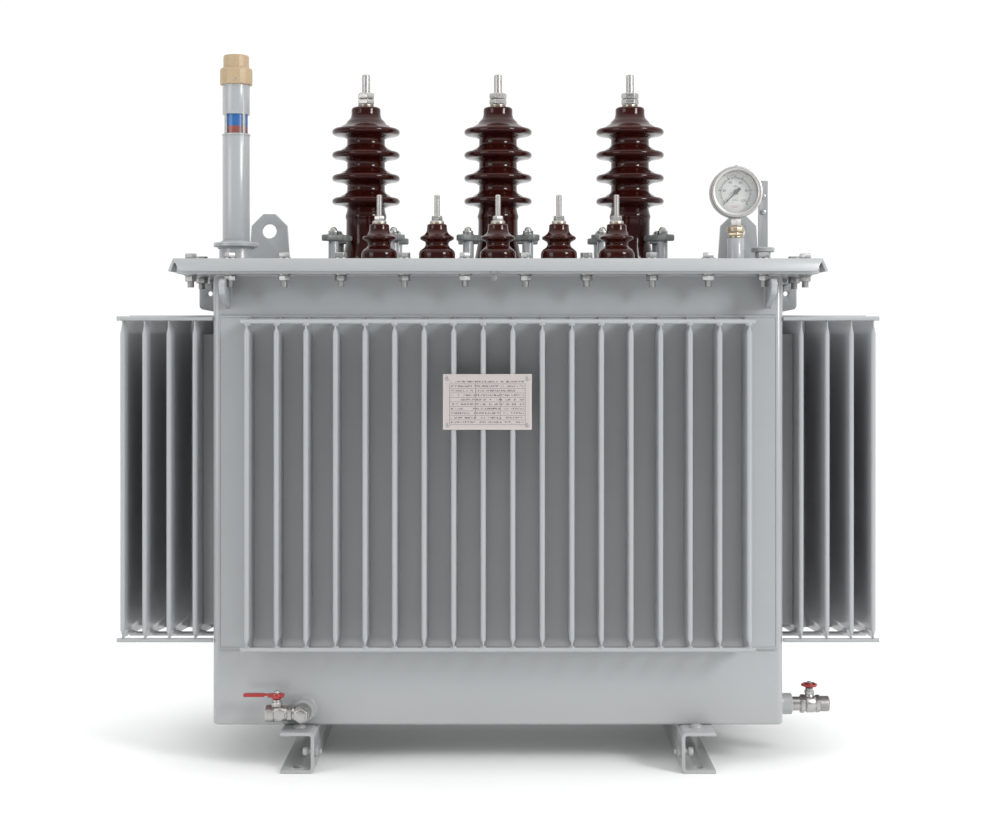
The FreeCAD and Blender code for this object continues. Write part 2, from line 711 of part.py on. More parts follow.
def lv_porcelain():
    """Short porcelain with a drum foot, a waist, one shed and a coned head."""
    rim_middle = LV_SHED_RADIUS - LV_SHED_RIM
    low_rim = Vector(rim_middle, 0, LV_SHED_HEIGHT - LV_SHED_RIM)
    high_rim = Vector(rim_middle, 0, LV_SHED_HEIGHT + LV_SHED_RIM)
    nose = Vector(LV_SHED_RADIUS, 0, LV_SHED_HEIGHT)
    waist_low = LV_NECK_HEIGHT - LV_BASE_HEIGHT / 2
    edges = lines([(0, 0), (LV_BASE_RADIUS, 0), (LV_BASE_RADIUS, LV_BASE_HEIGHT),
                   (LV_NECK_RADIUS, waist_low), (LV_NECK_RADIUS, LV_NECK_HEIGHT),
                   (rim_middle, low_rim.z)])
    edges.append(Part.Arc(low_rim, nose, high_rim).toShape())
    edges += lines([(rim_middle, high_rim.z), (LV_HEAD_RADIUS, LV_HEAD_TOP - LV_BASE_HEIGHT),
                    (LV_HEAD_RADIUS, LV_HEAD_TOP), (0, LV_HEAD_TOP), (0, 0)])
    return edges


def lv_terminal(x):
    """Threaded stud with a washer and a nut."""
    seat = LID_TOP + LV_HEAD_TOP
    nut_seat = seat + LV_WASHER_THICKNESS
    nut = hexagon(LV_NUT_FLATS, Vector(x, LV_Y, nut_seat), Vector(0, 0, LV_NUT_THICKNESS))
    return fuse(post(LV_WASHER_RADIUS, x, LV_Y, seat, nut_seat), nut,
                post(LV_STUD_RADIUS, x, LV_Y, seat, seat + LV_STUD_HEIGHT))


# Filler pipe

def filler_neck():
    """Short tube on the lid with a round flange."""
    bore = PIPE_RADIUS - PIPE_WALL
    flange_low = LID_TOP + NECK_HEIGHT
    flange_top = flange_low + NECK_FLANGE_THICKNESS
    return fuse(tube(NECK_RADIUS, bore, FILLER_X, FILLER_Y, LID_TOP, flange_low),
                tube(NECK_FLANGE_RADIUS, bore, FILLER_X, FILLER_Y, flange_low, flange_top))


def pipe_foot():
    """Height at which the filler pipe stands on its neck."""
    return LID_TOP + NECK_HEIGHT + NECK_FLANGE_THICKNESS


def filler_pipe():
    """Pipe with a ring of slots that shows the level float."""
    foot = pipe_foot()
    pipe = tube(PIPE_RADIUS, PIPE_RADIUS - PIPE_WALL, FILLER_X, FILLER_Y, foot, foot + PIPE_LENGTH)
    low = foot + WINDOW_BOTTOM
    half_angle = math.pi / WINDOW_SLOTS - WINDOW_BAR / (2 * PIPE_RADIUS)
    reach_x = 2 * PIPE_RADIUS * math.cos(half_angle)
    reach_y = 2 * PIPE_RADIUS * math.sin(half_angle)
    slot = prism([Vector(0, 0, low), Vector(reach_x, -reach_y, low), Vector(reach_x, reach_y, low)],
                 Vector(0, 0, WINDOW_HEIGHT))
    for index in range(WINDOW_SLOTS):
        pipe = pipe.cut(moved(turned(slot, 360 * index / WINDOW_SLOTS), FILLER_X, FILLER_Y, 0))
    return pipe


def level_float():
    """Sleeve that slides in the pipe behind the window."""
    outer = PIPE_RADIUS - PIPE_WALL - RUN_GAP
    low = pipe_foot() + WINDOW_BOTTOM - FLOAT_MARGIN
    high = low + WINDOW_HEIGHT + 2 * FLOAT_MARGIN
    return tube(outer, outer - FLOAT_SLEEVE, FILLER_X, FILLER_Y, low, high)


def filler_cap():
    """Cap with a skirt over the pipe's end and a knob on top."""
    pipe_top = pipe_foot() + PIPE_LENGTH
    skirt_low = pipe_top - CAP_SEAT
    skirt_top = skirt_low + CAP_SKIRT_HEIGHT
    cap = fuse(post(CAP_SKIRT_RADIUS, FILLER_X, FILLER_Y, skirt_low, skirt_top),
               post(CAP_KNOB_RADIUS, FILLER_X, FILLER_Y, skirt_top, skirt_top + CAP_KNOB_HEIGHT))
    return cap.cut(post(PIPE_RADIUS + RUN_GAP, FILLER_X, FILLER_Y, skirt_low, pipe_top))


# Lugs

def lid_lug(x):
    """Lifting plate on the lid with one hole."""
    base = LUG_BASE_WIDTH / 2
    half = LUG_WIDTH / 2
    y = -LUG_THICKNESS / 2
    outline = [Vector(-base, y, 0), Vector(base, y, 0),
               Vector(half, y, LUG_HEIGHT - LUG_CLIP), Vector(half - LUG_CLIP, y, LUG_HEIGHT),
               Vector(LUG_CLIP - half, y, LUG_HEIGHT), Vector(-half, y, LUG_HEIGHT - LUG_CLIP)]
    plate = prism(outline, Vector(0, LUG_THICKNESS, 0))
    hole = rod(LUG_HOLE_RADIUS, Vector(0, -LUG_THICKNESS, LUG_HOLE_HEIGHT),
               Vector(0, LUG_THICKNESS, LUG_HOLE_HEIGHT))
    return moved(plate.cut(hole), x, 0, LID_TOP)


def wall_lug(reach, height, nose, thickness):
    """Plate that points along +X from a wall at X = 0, flat on top and slanting below."""
    y = -thickness / 2
    outline = [Vector(0, y, 0), Vector(reach / 2, y, 0), Vector(reach, y, height - nose),
               Vector(reach, y, height), Vector(0, y, height)]
    plate = prism(outline, Vector(0, thickness, 0))
    return fillet_where(plate, LUG_ROUND,
                        lambda e: runs_along(e, Y_AXIS) and e.CenterOfMass.x > reach - 1)


def tank_lugs():
    """Four lugs under the rim, two at the front and two at the back."""
    lug = wall_lug(TANK_LUG_REACH, TANK_LUG_HEIGHT, TANK_LUG_NOSE, TANK_LUG_THICKNESS)
    low = TANK_TOP - TANK_LUG_DROP - TANK_LUG_HEIGHT
    lugs = []
    for side in SIDES:
        for face in SIDES:
            lugs.append(moved(turned(lug, face * 90), side * (END - TANK_LUG_INSET),
                              face * TANK_DEPTH / 2, low))
    return lugs


def end_lugs():
    """A drilled lug on each end wall."""
    plate = wall_lug(END_LUG_REACH, END_LUG_HEIGHT, END_LUG_NOSE, TANK_LUG_THICKNESS)
    hole_x = END_LUG_REACH - END_LUG_HOLE_INSET
    hole_z = END_LUG_HEIGHT - END_LUG_HOLE_INSET
    plate = plate.cut(rod(END_LUG_HOLE_RADIUS, Vector(hole_x, -TANK_LUG_THICKNESS, hole_z),
                          Vector(hole_x, TANK_LUG_THICKNESS, hole_z)))
    low = TANK_TOP - TANK_LUG_DROP - END_LUG_HEIGHT
    return [moved(plate, END, 0, low), moved(turned(plate, 180), -END, 0, low)]


# Thermometer

def gauge_stub():
    """Welded stub on the lid under the thermometer."""
    return post(GAUGE_STUB_RADIUS, GAUGE_X, GAUGE_Y, LID_TOP, LID_TOP + GAUGE_STUB_HEIGHT)


def gauge_fitting():
    """Union and hexagonal neck between the stub and the case."""
    foot = LID_TOP + GAUGE_STUB_HEIGHT
    union_top = foot + UNION_HEIGHT
    collar = post(GAUGE_STUB_RADIUS - UNION_COLLAR, GAUGE_X, GAUGE_Y, foot, foot + UNION_COLLAR)
    union = post(UNION_RADIUS, GAUGE_X, GAUGE_Y, foot + UNION_COLLAR, union_top)
    neck = hexagon(GAUGE_NECK_FLATS, Vector(GAUGE_X, GAUGE_Y, union_top),
                   Vector(0, 0, GAUGE_NECK_HEIGHT))
    fitting = fuse(collar, union, neck)
    return fitting.cut(gauge_disc(GAUGE_RADIUS, 0, GAUGE_DEPTH))


def gauge_middle():
    """Middle of the thermometer's front face."""
    z = LID_TOP + GAUGE_STUB_HEIGHT + UNION_HEIGHT + GAUGE_NECK_HEIGHT + GAUGE_RADIUS
    seat_sag = GAUGE_RADIUS - math.sqrt(GAUGE_RADIUS ** 2 - (GAUGE_NECK_FLATS / 2) ** 2)
    return Vector(GAUGE_X, GAUGE_Y - GAUGE_DEPTH / 2, z - seat_sag)


def gauge_disc(radius, start, end):
    """Disc on the thermometer's axis, between two depths behind its front face."""
    middle = gauge_middle()
    return rod(radius, middle.add(Vector(0, start, 0)), middle.add(Vector(0, end, 0)))


def gauge_case():
    """Round case with a bezel ring in front of the glass."""
    inside = GAUGE_RADIUS - GAUGE_WALL
    case = gauge_disc(GAUGE_RADIUS, 0, GAUGE_DEPTH)
    case = case.cut(gauge_disc(inside, GAUGE_BEZEL_THICKNESS, GAUGE_DEPTH - GAUGE_WALL))
    return case.cut(gauge_disc(GAUGE_RADIUS - GAUGE_BEZEL, 0, GAUGE_BEZEL_THICKNESS))


def gauge_glass():
    """Window pane behind the bezel."""
    return gauge_disc(GAUGE_RADIUS - GAUGE_WALL - RUN_GAP, GAUGE_BEZEL_THICKNESS,
                      GAUGE_BEZEL_THICKNESS + GLASS_THICKNESS)


def dial_depth():
    """Depth of the dial's face behind the thermometer's front face."""
    return GAUGE_BEZEL_THICKNESS + GLASS_THICKNESS + DIAL_SETBACK


def gauge_dial():
    """Dial plate with the spindle that carries the pointer."""
    face = dial_depth()
    plate = gauge_disc(GAUGE_RADIUS - GAUGE_WALL - RUN_GAP, face, face + DIAL_THICKNESS)
    spindle = gauge_disc(POINTER_PIN_RADIUS, face - POINTER_GAP - POINTER_THICKNESS, face)
    return fuse(plate, spindle)


def gauge_pointer():
    """Tapered pointer with its hub, turned to its reading."""
    middle = gauge_middle()
    back = dial_depth() - POINTER_GAP
    y = middle.y + back - POINTER_THICKNESS
    half = POINTER_WIDTH / 2
    outline = [Vector(-half / 2, y, -POINTER_TAIL), Vector(half / 2, y, -POINTER_TAIL),
               Vector(half, y, 0), Vector(0, y, POINTER_LENGTH), Vector(-half, y, 0)]
    hand = prism(outline, Vector(0, POINTER_THICKNESS, 0))
    hand.rotate(Vector(0, 0, 0), Y_AXIS, POINTER_ANGLE)
    hand = moved(hand, middle.x, 0, middle.z)
    hub = gauge_disc(POINTER_HUB_RADIUS, back - POINTER_THICKNESS, back)
    hole = gauge_disc(POINTER_PIN_RADIUS + RUN_GAP, back - POINTER_THICKNESS, back)
    return fuse(hand, hub).cut(hole)


# Pocket and bar

def pocket():
    """Short stub on the lid, closed by a disc."""
    disc_low = LID_TOP + POCKET_STUB_HEIGHT
    return fuse(post(POCKET_STUB_RADIUS, POCKET_X, POCKET_Y, LID_TOP, disc_low),
                post(POCKET_DISC_RADIUS, POCKET_X, POCKET_Y, disc_low,
                     disc_low + POCKET_DISC_THICKNESS))


def pocket_bar():
    """Upright flat bar with two small holes."""
    foot = LID_TOP + POCKET_STUB_HEIGHT + POCKET_DISC_THICKNESS
    bar = box(POCKET_X - BAR_WIDTH / 2, POCKET_X + BAR_WIDTH / 2, POCKET_Y - BAR_THICKNESS / 2,
              POCKET_Y + BAR_THICKNESS / 2, foot, foot + BAR_HEIGHT)
    for height in BAR_HOLES:
        bar = bar.cut(rod(BAR_HOLE_RADIUS, Vector(POCKET_X, POCKET_Y - BAR_THICKNESS, foot + height),
                          Vector(POCKET_X, POCKET_Y + BAR_THICKNESS, foot + height)))
    return bar


def nameplate():
    """Plain plate fixed on the fin tips."""
    tips = -(FRONT + FIN_DEPTH)
    low = FOOT_HEIGHT + PLATE_BOTTOM
    return box(PLATE_X - PLATE_WIDTH / 2, PLATE_X + PLATE_WIDTH / 2, tips - PLATE_THICKNESS, tips,
               low, low + PLATE_HEIGHT)


# Drain valve

def drain_axis():
    """Middle of the drain tee."""
    return Vector(DRAIN_X, -(TANK_DEPTH / 2 + DRAIN_REACH), FOOT_HEIGHT + DRAIN_HEIGHT)


def drain_tee():
    """Boss on the tank with a tee: a plug in front and the valve's pipe to the left."""
    middle = drain_axis()
    wall = Vector(DRAIN_X, -TANK_DEPTH / 2, middle.z)
    tee_back = middle.add(Vector(0, DRAIN_TEE_RADIUS, 0))
    tee_front = middle.sub(Vector(0, DRAIN_TEE_RADIUS, 0))
    return fuse(rod(DRAIN_BOSS_RADIUS, wall, tee_back), rod(DRAIN_TEE_RADIUS, tee_back, tee_front),
                rod(DRAIN_PIPE_RADIUS, middle, middle.sub(Vector(VALVE_START, 0, 0))),
                hexagon(DRAIN_PLUG_FLATS, tee_front, Vector(0, -DRAIN_PLUG_LENGTH, 0)))


def stem_x():
    """X of the ball valve's stem."""
    return DRAIN_X - VALVE_START - VALVE_RING_LENGTH - VALVE_BODY_LENGTH / 2


def drain_valve_body():
    """Ball valve body with an open outlet on its left and a stem on top."""
    middle = drain_axis()
    start = middle.sub(Vector(VALVE_START, 0, 0))
    ring_end = start.sub(Vector(VALVE_RING_LENGTH, 0, 0))
    body_end = ring_end.sub(Vector(VALVE_BODY_LENGTH, 0, 0))
    body = fuse(rod(VALVE_RING_RADIUS, start, ring_end), rod(VALVE_BODY_RADIUS, ring_end, body_end),
                post(VALVE_GLAND_RADIUS, stem_x(), middle.y, middle.z, middle.z + VALVE_GLAND_HEIGHT),
                post(VALVE_STEM_RADIUS, stem_x(), middle.y, middle.z, middle.z + VALVE_STEM_HEIGHT))
    return body.cut(rod(VALVE_BORE_RADIUS, body_end, body_end.add(Vector(VALVE_BORE_DEPTH, 0, 0))))


def drain_lever():
    """Lever that turns on the stem, pointing left when the valve is open."""
    middle = drain_axis()
    hub_low = middle.z + VALVE_GLAND_HEIGHT + LEVER_LIFT
    hub_top = hub_low + LEVER_HUB_HEIGHT
    x = stem_x()
    blade = box(x - LEVER_LENGTH, x, middle.y - LEVER_WIDTH / 2, middle.y + LEVER_WIDTH / 2,
                hub_top - LEVER_THICKNESS, hub_top)
    blade = fillet_where(blade, LEVER_WIDTH / 3,
                         lambda e: runs_along(e, Z_AXIS) and e.CenterOfMass.x < x - LEVER_LENGTH + 1)
    lever = fuse(post(LEVER_HUB_RADIUS, x, middle.y, hub_low, hub_top), blade)
    return lever.cut(post(VALVE_STEM_RADIUS + RUN_GAP, x, middle.y, hub_low, hub_top))


# Sampling gate valve

def gate_point(along):
    """Point on the gate valve's axis, this far from the tank's end wall."""
    return Vector(END + along, GATE_Y, FOOT_HEIGHT + GATE_HEIGHT)


def gate_boss():
    """Boss welded on the tank's end wall."""
    return rod(GATE_BOSS_RADIUS, gate_point(0), gate_point(GATE_BOSS_LENGTH))


def gate_stem_x():
    """Distance of the gate valve's stem from the tank's end wall."""
    return GATE_BOSS_LENGTH + GATE_NIPPLE_LENGTH + GATE_BODY_LENGTH / 2


def gate_valve_body():
    """Valve body with nipple, bonnet, stem and an open outlet."""
    nipple_end = GATE_BOSS_LENGTH + GATE_NIPPLE_LENGTH
    body_end = nipple_end + GATE_BODY_LENGTH
    outlet_end = body_end + GATE_OUTLET_LENGTH
    stem = gate_point(gate_stem_x())
    body = fuse(rod(GATE_NIPPLE_RADIUS, gate_point(GATE_BOSS_LENGTH), gate_point(nipple_end)),
                rod(GATE_BODY_RADIUS, gate_point(nipple_end), gate_point(body_end)),
                rod(GATE_OUTLET_RADIUS, gate_point(body_end), gate_point(outlet_end)),
                post(GATE_BONNET_RADIUS, stem.x, stem.y, stem.z, stem.z + GATE_BONNET_HEIGHT),
                post(GATE_STEM_RADIUS, stem.x, stem.y, stem.z, stem.z + GATE_STEM_HEIGHT))
    return body.cut(rod(GATE_BORE_RADIUS, gate_point(outlet_end),
                        gate_point(outlet_end - GATE_BORE_DEPTH)))


def gate_handwheel():
    """Small handwheel on the gate valve's stem."""
    stem = gate_point(gate_stem_x())
    low = stem.z + GATE_BONNET_HEIGHT + WHEEL_LIFT
    wheel = post(WHEEL_RADIUS, stem.x, stem.y, low, low + WHEEL_THICKNESS)
    return wheel.cut(post(GATE_STEM_RADIUS + RUN_GAP, stem.x, stem.y, low, low + WHEEL_THICKNESS))


def main():
    os.makedirs("parts", exist_ok=True)
    write("left_foot_channel", foot_channel(-1))
    write("right_foot_channel", foot_channel(1))
    write("earth_bolts", earth_bolt(-1), earth_bolt(1))
    write("tank_body", tank_body())
    write("tank_rim_flange", rim_flange())
    write("lid_gasket", lid_gasket())
    write("lid", lid())
    write("front_fin_panel", fin_panel(0))
    write("rear_fin_panel", fin_panel(180))
    write("fin_panel_rods", *fin_panel_rods())
    for name, side in (("left", -1), ("right", 1)):
        write(name + "_wing_duct", wing_duct(side))
        write(name + "_wing_fins", *wing_fins(side))
        write(name + "_wing_rods", *wing_rods(side))
    write("wing_closing_strips", *wing_strips())
    for number, x in enumerate(hv_places(), start=1):
        write("hv_bushing_" + str(number), spun(hv_porcelain(), x, HV_Y, LID_TOP))
    write("hv_terminals", *[hv_terminal(x) for x in hv_places()])
    write("hv_clamp_claws", *clamp_claws())
    write("hv_clamp_posts", *clamp_posts())
    write("lv_bushings", *[spun(lv_porcelain(), x, LV_Y, LID_TOP) for x in LV_PLACES])
    write("lv_terminals", *[lv_terminal(x) for x in LV_PLACES])
    write("filler_neck", filler_neck())
    write("filler_pipe", filler_pipe())
    write("level_float", level_float())
    write("filler_cap", filler_cap())
    write("lid_lifting_lugs", lid_lug(LUG_LEFT_X), lid_lug(LUG_RIGHT_X))
    write("tank_lugs", *tank_lugs())
    write("end_lugs", *end_lugs())
    write("gauge_stub", gauge_stub())
    write("gauge_fitting", gauge_fitting())
    write("gauge_case", gauge_case())
    write("gauge_dial", gauge_dial())
    write("gauge_pointer", gauge_pointer())
    write("gauge_glass", gauge_glass())
    write("pocket", pocket())
    write("pocket_bar", pocket_bar())
    write("nameplate", nameplate())
    write("drain_tee", drain_tee())
    write("drain_valve_body", drain_valve_body())
    write("drain_lever", drain_lever())
    write("gate_valve_boss", gate_boss())
    write("gate_valve_body", gate_valve_body())
    write("gate_handwheel", gate_handwheel())


main()
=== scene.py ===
"""Sealed oil-filled distribution transformer: its finishes and detailed pieces.

Metres, +Z up, front towards -Y. Pieces are placed from the frame's own nodes.
"""
import json
import math

import bpy
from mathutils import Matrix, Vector


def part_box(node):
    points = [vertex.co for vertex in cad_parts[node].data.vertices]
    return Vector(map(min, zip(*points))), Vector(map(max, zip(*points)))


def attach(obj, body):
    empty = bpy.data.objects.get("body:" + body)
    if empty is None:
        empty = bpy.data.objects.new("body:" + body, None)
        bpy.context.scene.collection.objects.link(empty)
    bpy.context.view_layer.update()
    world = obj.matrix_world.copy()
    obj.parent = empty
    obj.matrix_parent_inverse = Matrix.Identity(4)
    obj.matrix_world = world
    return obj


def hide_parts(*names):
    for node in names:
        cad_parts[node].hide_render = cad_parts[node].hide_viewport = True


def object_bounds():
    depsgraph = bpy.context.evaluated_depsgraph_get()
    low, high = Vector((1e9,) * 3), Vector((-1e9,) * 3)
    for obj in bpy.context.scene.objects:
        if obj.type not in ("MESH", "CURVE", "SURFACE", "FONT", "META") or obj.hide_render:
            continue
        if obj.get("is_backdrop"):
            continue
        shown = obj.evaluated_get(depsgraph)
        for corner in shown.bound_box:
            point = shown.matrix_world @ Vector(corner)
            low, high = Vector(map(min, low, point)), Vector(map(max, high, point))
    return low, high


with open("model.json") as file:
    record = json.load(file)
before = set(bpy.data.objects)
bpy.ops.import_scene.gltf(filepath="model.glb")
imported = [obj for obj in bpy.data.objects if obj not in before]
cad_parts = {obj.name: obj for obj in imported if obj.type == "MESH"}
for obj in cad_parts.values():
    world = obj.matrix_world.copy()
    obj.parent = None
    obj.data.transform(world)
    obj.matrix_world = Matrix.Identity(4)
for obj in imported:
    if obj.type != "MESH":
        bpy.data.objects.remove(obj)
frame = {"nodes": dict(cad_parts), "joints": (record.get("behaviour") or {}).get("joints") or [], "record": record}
cad_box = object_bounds()

bl_info = {
    "name": "Distribution transformer",
    "version": (1, 0, 0),
    "blender": (4, 5, 0),
    "location": "3D View > Sidebar > Transformer",
    "description": "Builds the visible pieces of a sealed distribution transformer",
    "category": "Add Mesh",
}

STATIC = "transformer"
SIDES = (-1, 1)
WINGS = (("left", -1), ("right", 1))
FEET = ("left_foot_channel", "right_foot_channel")
HV_BUSHINGS = ("hv_bushing_1", "hv_bushing_2", "hv_bushing_3")
FRONT = (0, -1, 0)
LEFT = (-1, 0, 0)
RIGHT = (1, 0, 0)

# Places closer than this count as the same
NEAR = 1e-5


# Places taken from the frame

class Box:
    """A node's box, with its middle, its sizes and the middle of its underside."""

    def __init__(self, node):
        self.low, self.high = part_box(node)
        self.middle = (self.low + self.high) / 2
        self.size = self.high - self.low
        self.foot = Vector((self.middle.x, self.middle.y, self.low.z))


def hinge(joint):
    """A joint's place."""
    return next(item["pos_m"] for item in frame["joints"] if item["name"] == joint)


LID = Box("lid")
TANK = Box("tank_body")
RIM = Box("tank_rim_flange")
LID_TOP = LID.high.z
SHEET_Y = TANK.low.y - 0.002


# Sizes and colours that a user would change

def length(name, text, value):
    """A length property in metres."""
    return bpy.props.FloatProperty(name=name, description=text, default=value, subtype="DISTANCE",
                                   unit="LENGTH", min=0)


def colour(name, text, value):
    """A colour property, in linear red, green and blue."""
    return bpy.props.FloatVectorProperty(name=name, description=text, default=value,
                                         subtype="COLOR", size=3, min=0, max=1)


def count(name, text, value):
    """A whole-number property."""
    return bpy.props.IntProperty(name=name, description=text, default=value, min=1)


class TransformerColours(bpy.types.PropertyGroup):
    paint: colour("Paint", "Glossy blue-grey paint", (0.346, 0.360, 0.367))
    porcelain: colour("Porcelain", "Glazed porcelain", (0.024, 0.0030, 0.0018))
    tin: colour("Tinned metal", "Terminals and their nuts", (0.50, 0.49, 0.475))
    zinc: colour("Zinc", "Bolts and cap nuts", (0.46, 0.46, 0.455))
    casting: colour("Casting", "Clamp claws", (0.21, 0.215, 0.215))
    nickel: colour("Nickel", "Valve bodies", (0.50, 0.49, 0.475))
    red: colour("Red", "Valve handles", (0.30, 0.010, 0.008))
    tan: colour("Tan", "Filler cap", (0.42, 0.315, 0.19))
    blue: colour("Blue", "Level float's upper half", (0.030, 0.130, 0.36))
    rust_red: colour("Red-brown", "Level float's lower half", (0.27, 0.075, 0.038))
    brass: colour("Brass", "Thermometer union", (0.62, 0.52, 0.385))
    steel: colour("Steel", "Thermometer case", (0.54, 0.53, 0.52))
    dial: colour("Dial", "Thermometer dial", (0.57, 0.58, 0.57))
    plate: colour("Nameplate", "Nameplate", (0.53, 0.485, 0.475))


class TransformerSizes(bpy.types.PropertyGroup):
    edge: length("Edge radius", "Rounding of cut plate edges", 0.0012)
    bolt: length("Lid bolt", "Width of a lid bolt's head across corners", 0.021)
    bolt_head: length("Bolt head", "Height of a lid bolt's head", 0.0088)
    bolt_inset: length("Bolt inset", "Lid bolts inside the lid plate's edge", 0.020)
    side_bolts: count("Side bolts", "Lid bolts along each end, corner bolts left out", 5)
    bead: length("Weld bead", "Width of a weld bead", 0.006)
    fin_thickness: length("Fin thickness", "Thickness of a cooling fin", 0.009)
    fin_press: length("Pressed end", "Length of a fin's pressed end", 0.028)
    fin_rise: length("Fin rise", "How much shorter a fin is at its tip, at each end", 0.015)
    wing_rise: length("Wing fin rise", "How much shorter a wing fin is at its tip, at its top",
                      0.005)
    fin_pitch: length("Fin pitch", "Spacing of the front and rear fins", 0.050)


def colours():
    return bpy.context.scene.transformer_colours


def sizes():
    return bpy.context.scene.transformer_sizes


# Finishes

class Value:
    """An output socket that adds Math nodes when it is used in arithmetic."""

    def __init__(self, finish, socket):
        self.finish = finish
        self.socket = socket

    def math(self, operation, *inputs):
        return self.finish.math(operation, *inputs)

    def __add__(self, other):
        return self.math("ADD", self, other)

    __radd__ = __add__

    def __sub__(self, other):
        return self.math("SUBTRACT", self, other)

    def __rsub__(self, other):
        return self.math("SUBTRACT", other, self)

    def __mul__(self, other):
        return self.math("MULTIPLY", self, other)

    __rmul__ = __mul__

    def __gt__(self, other):
        return self.math("GREATER_THAN", self, other)

    def __lt__(self, other):
        return self.math("LESS_THAN", self, other)

    def clamped(self):
        return self.math("MINIMUM", self.math("MAXIMUM", self, 0), 1)


class Nodes:
    """A node tree and its shader."""

    def __init__(self, owner, shader):
        owner.use_nodes = True
        self.nodes = owner.node_tree.nodes
        self.links = owner.node_tree.links
        self.shader = self.nodes[shader]

    def add(self, kind, settings, inputs, output=0):
        """Adds a node: its settings first, then the values or links of its sockets."""
        node = self.nodes.new(kind)
        for key, value in settings.items():
            setattr(node, key, value)
        for key, value in inputs.items():
            self.feed(node.inputs[key], value)
        return Value(self, node.outputs[output])

    def feed(self, socket, value):
        """Gives a socket a link or a value."""
        if isinstance(value, Value):
            self.links.new(value.socket, socket)
        else:
            socket.default_value = value

    def set(self, key, value):
        """Feeds one of the shader's own sockets."""
        self.feed(self.shader.inputs[key], value)

    def math(self, operation, *inputs):
        """Math node on links and numbers."""
        return self.add("ShaderNodeMath", {"operation": operation}, dict(enumerate(inputs)))

    def place(self, kind="Object"):
        """Object coordinates, or the direction of view in a world."""
        return self.add("ShaderNodeTexCoord", {}, {}, kind)

    def axis(self, name, kind="Object"):
        """One of the coordinates."""
        return self.add("ShaderNodeSeparateXYZ", {}, {0: self.place(kind)}, name)


class Finish(Nodes):
    """A procedural material on the Principled shader."""

    def __init__(self, name, **constants):
        self.material = bpy.data.materials.new(name)
        super().__init__(self.material, "Principled BSDF")
        for key, value in constants.items():
            self.shader.inputs[key.replace("_", " ")].default_value = value

    def noise(self, scale, detail, roughness=0.5, stretch=None):
        """Noise from 0 to 1, stretched along an axis where asked."""
        where = self.place()
        if stretch:
            where = self.add("ShaderNodeMapping", {}, {"Vector": where, "Scale": stretch})
        inputs = {"Vector": where, "Scale": scale, "Detail": detail, "Roughness": roughness}
        return self.add("ShaderNodeTexNoise", {}, inputs)

    def blend(self, factor, first, second):
        """Mix of two colours."""
        return self.add("ShaderNodeMix", {"data_type": "RGBA"},
                        {"Factor": factor, 6: opaque(first), 7: opaque(second)}, 2)

    def colour(self, factor, first, second):
        """Colour of the surface, mixed of two."""
        self.set("Base Color", self.blend(factor, first, second))

    def bump(self, height, strength, distance):
        """Relief on the shader's normal."""
        inputs = {"Strength": strength, "Distance": distance, "Height": height}
        self.set("Normal", self.add("ShaderNodeBump", {}, inputs))


def opaque(shade):
    """A colour with its alpha, or a link as it is."""
    return shade if isinstance(shade, Value) else (*shade[:3], 1)


def shaded(shade, amount):
    """A colour made lighter or darker."""
    return tuple(min(part * amount, 1) for part in shade)


def paint_finish(name, shade, roughness=0.31):
    """Glossy sprayed paint: faint clouding, orange peel, and dust towards the ground."""
    finish = Finish(name, Metallic=0.0, Coat_Roughness=0.12, IOR=1.5)
    clouds = finish.noise(7.0, 4.0)
    mottle = finish.noise(60.0, 3.0)
    dust = (1.0 - finish.axis("Z") * 7.0).clamped() * finish.noise(18.0, 5.0) * 0.35
    base = finish.blend(clouds, shaded(shade, 0.95), shaded(shade, 1.04))
    base = finish.blend(mottle * 0.25, base, shaded(shade, 0.90))
    finish.colour(dust, base, (0.36, 0.33, 0.29))
    finish.set("Roughness", clouds * 0.10 + (dust * 0.4 + (roughness - 0.05)))
    finish.set("Coat Weight", 0.28 - dust * 0.5)
    finish.bump(finish.noise(240.0, 2.0) * 0.6 + mottle * 0.4, 0.06, 0.0006)
    return finish.material


def porcelain_finish(shade):
    """Thick brown glaze, redder where it runs thin, with a wavy gloss."""
    finish = Finish("porcelain_glaze", Metallic=0.0, IOR=1.45, Coat_Roughness=0.03,
                    Specular_IOR_Level=0.17)
    runs = finish.noise(26.0, 4.0, 0.55, (1.0, 1.0, 0.35))
    speckle = finish.noise(420.0, 2.0)
    base = finish.blend(runs, shaded(shade, 0.45), shaded(shade, 2.0))
    finish.colour((speckle > 0.66) * 0.35, base, shaded(shade, 0.4))
    finish.set("Roughness", runs * 0.10 + 0.12)
    finish.set("Coat Weight", 0.28)
    finish.bump(finish.noise(38.0, 3.0), 0.16, 0.0012)
    return finish.material


def metal_finish(name, shade, roughness, grain, relief, stain=0.25):
    """Bare or plated metal with fine scratches and dull patches."""
    finish = Finish(name, Metallic=1.0)
    patches = finish.noise(45.0, 4.0)
    scratches = finish.noise(grain, 4.0, 0.65)
    finish.colour(patches * stain * 2.0, shade, shaded(shade, 0.62))
    finish.set("Roughness", scratches * 0.22 + patches * 0.14 + (roughness - 0.15))
    finish.bump(scratches, relief, 0.0005)
    return finish.material


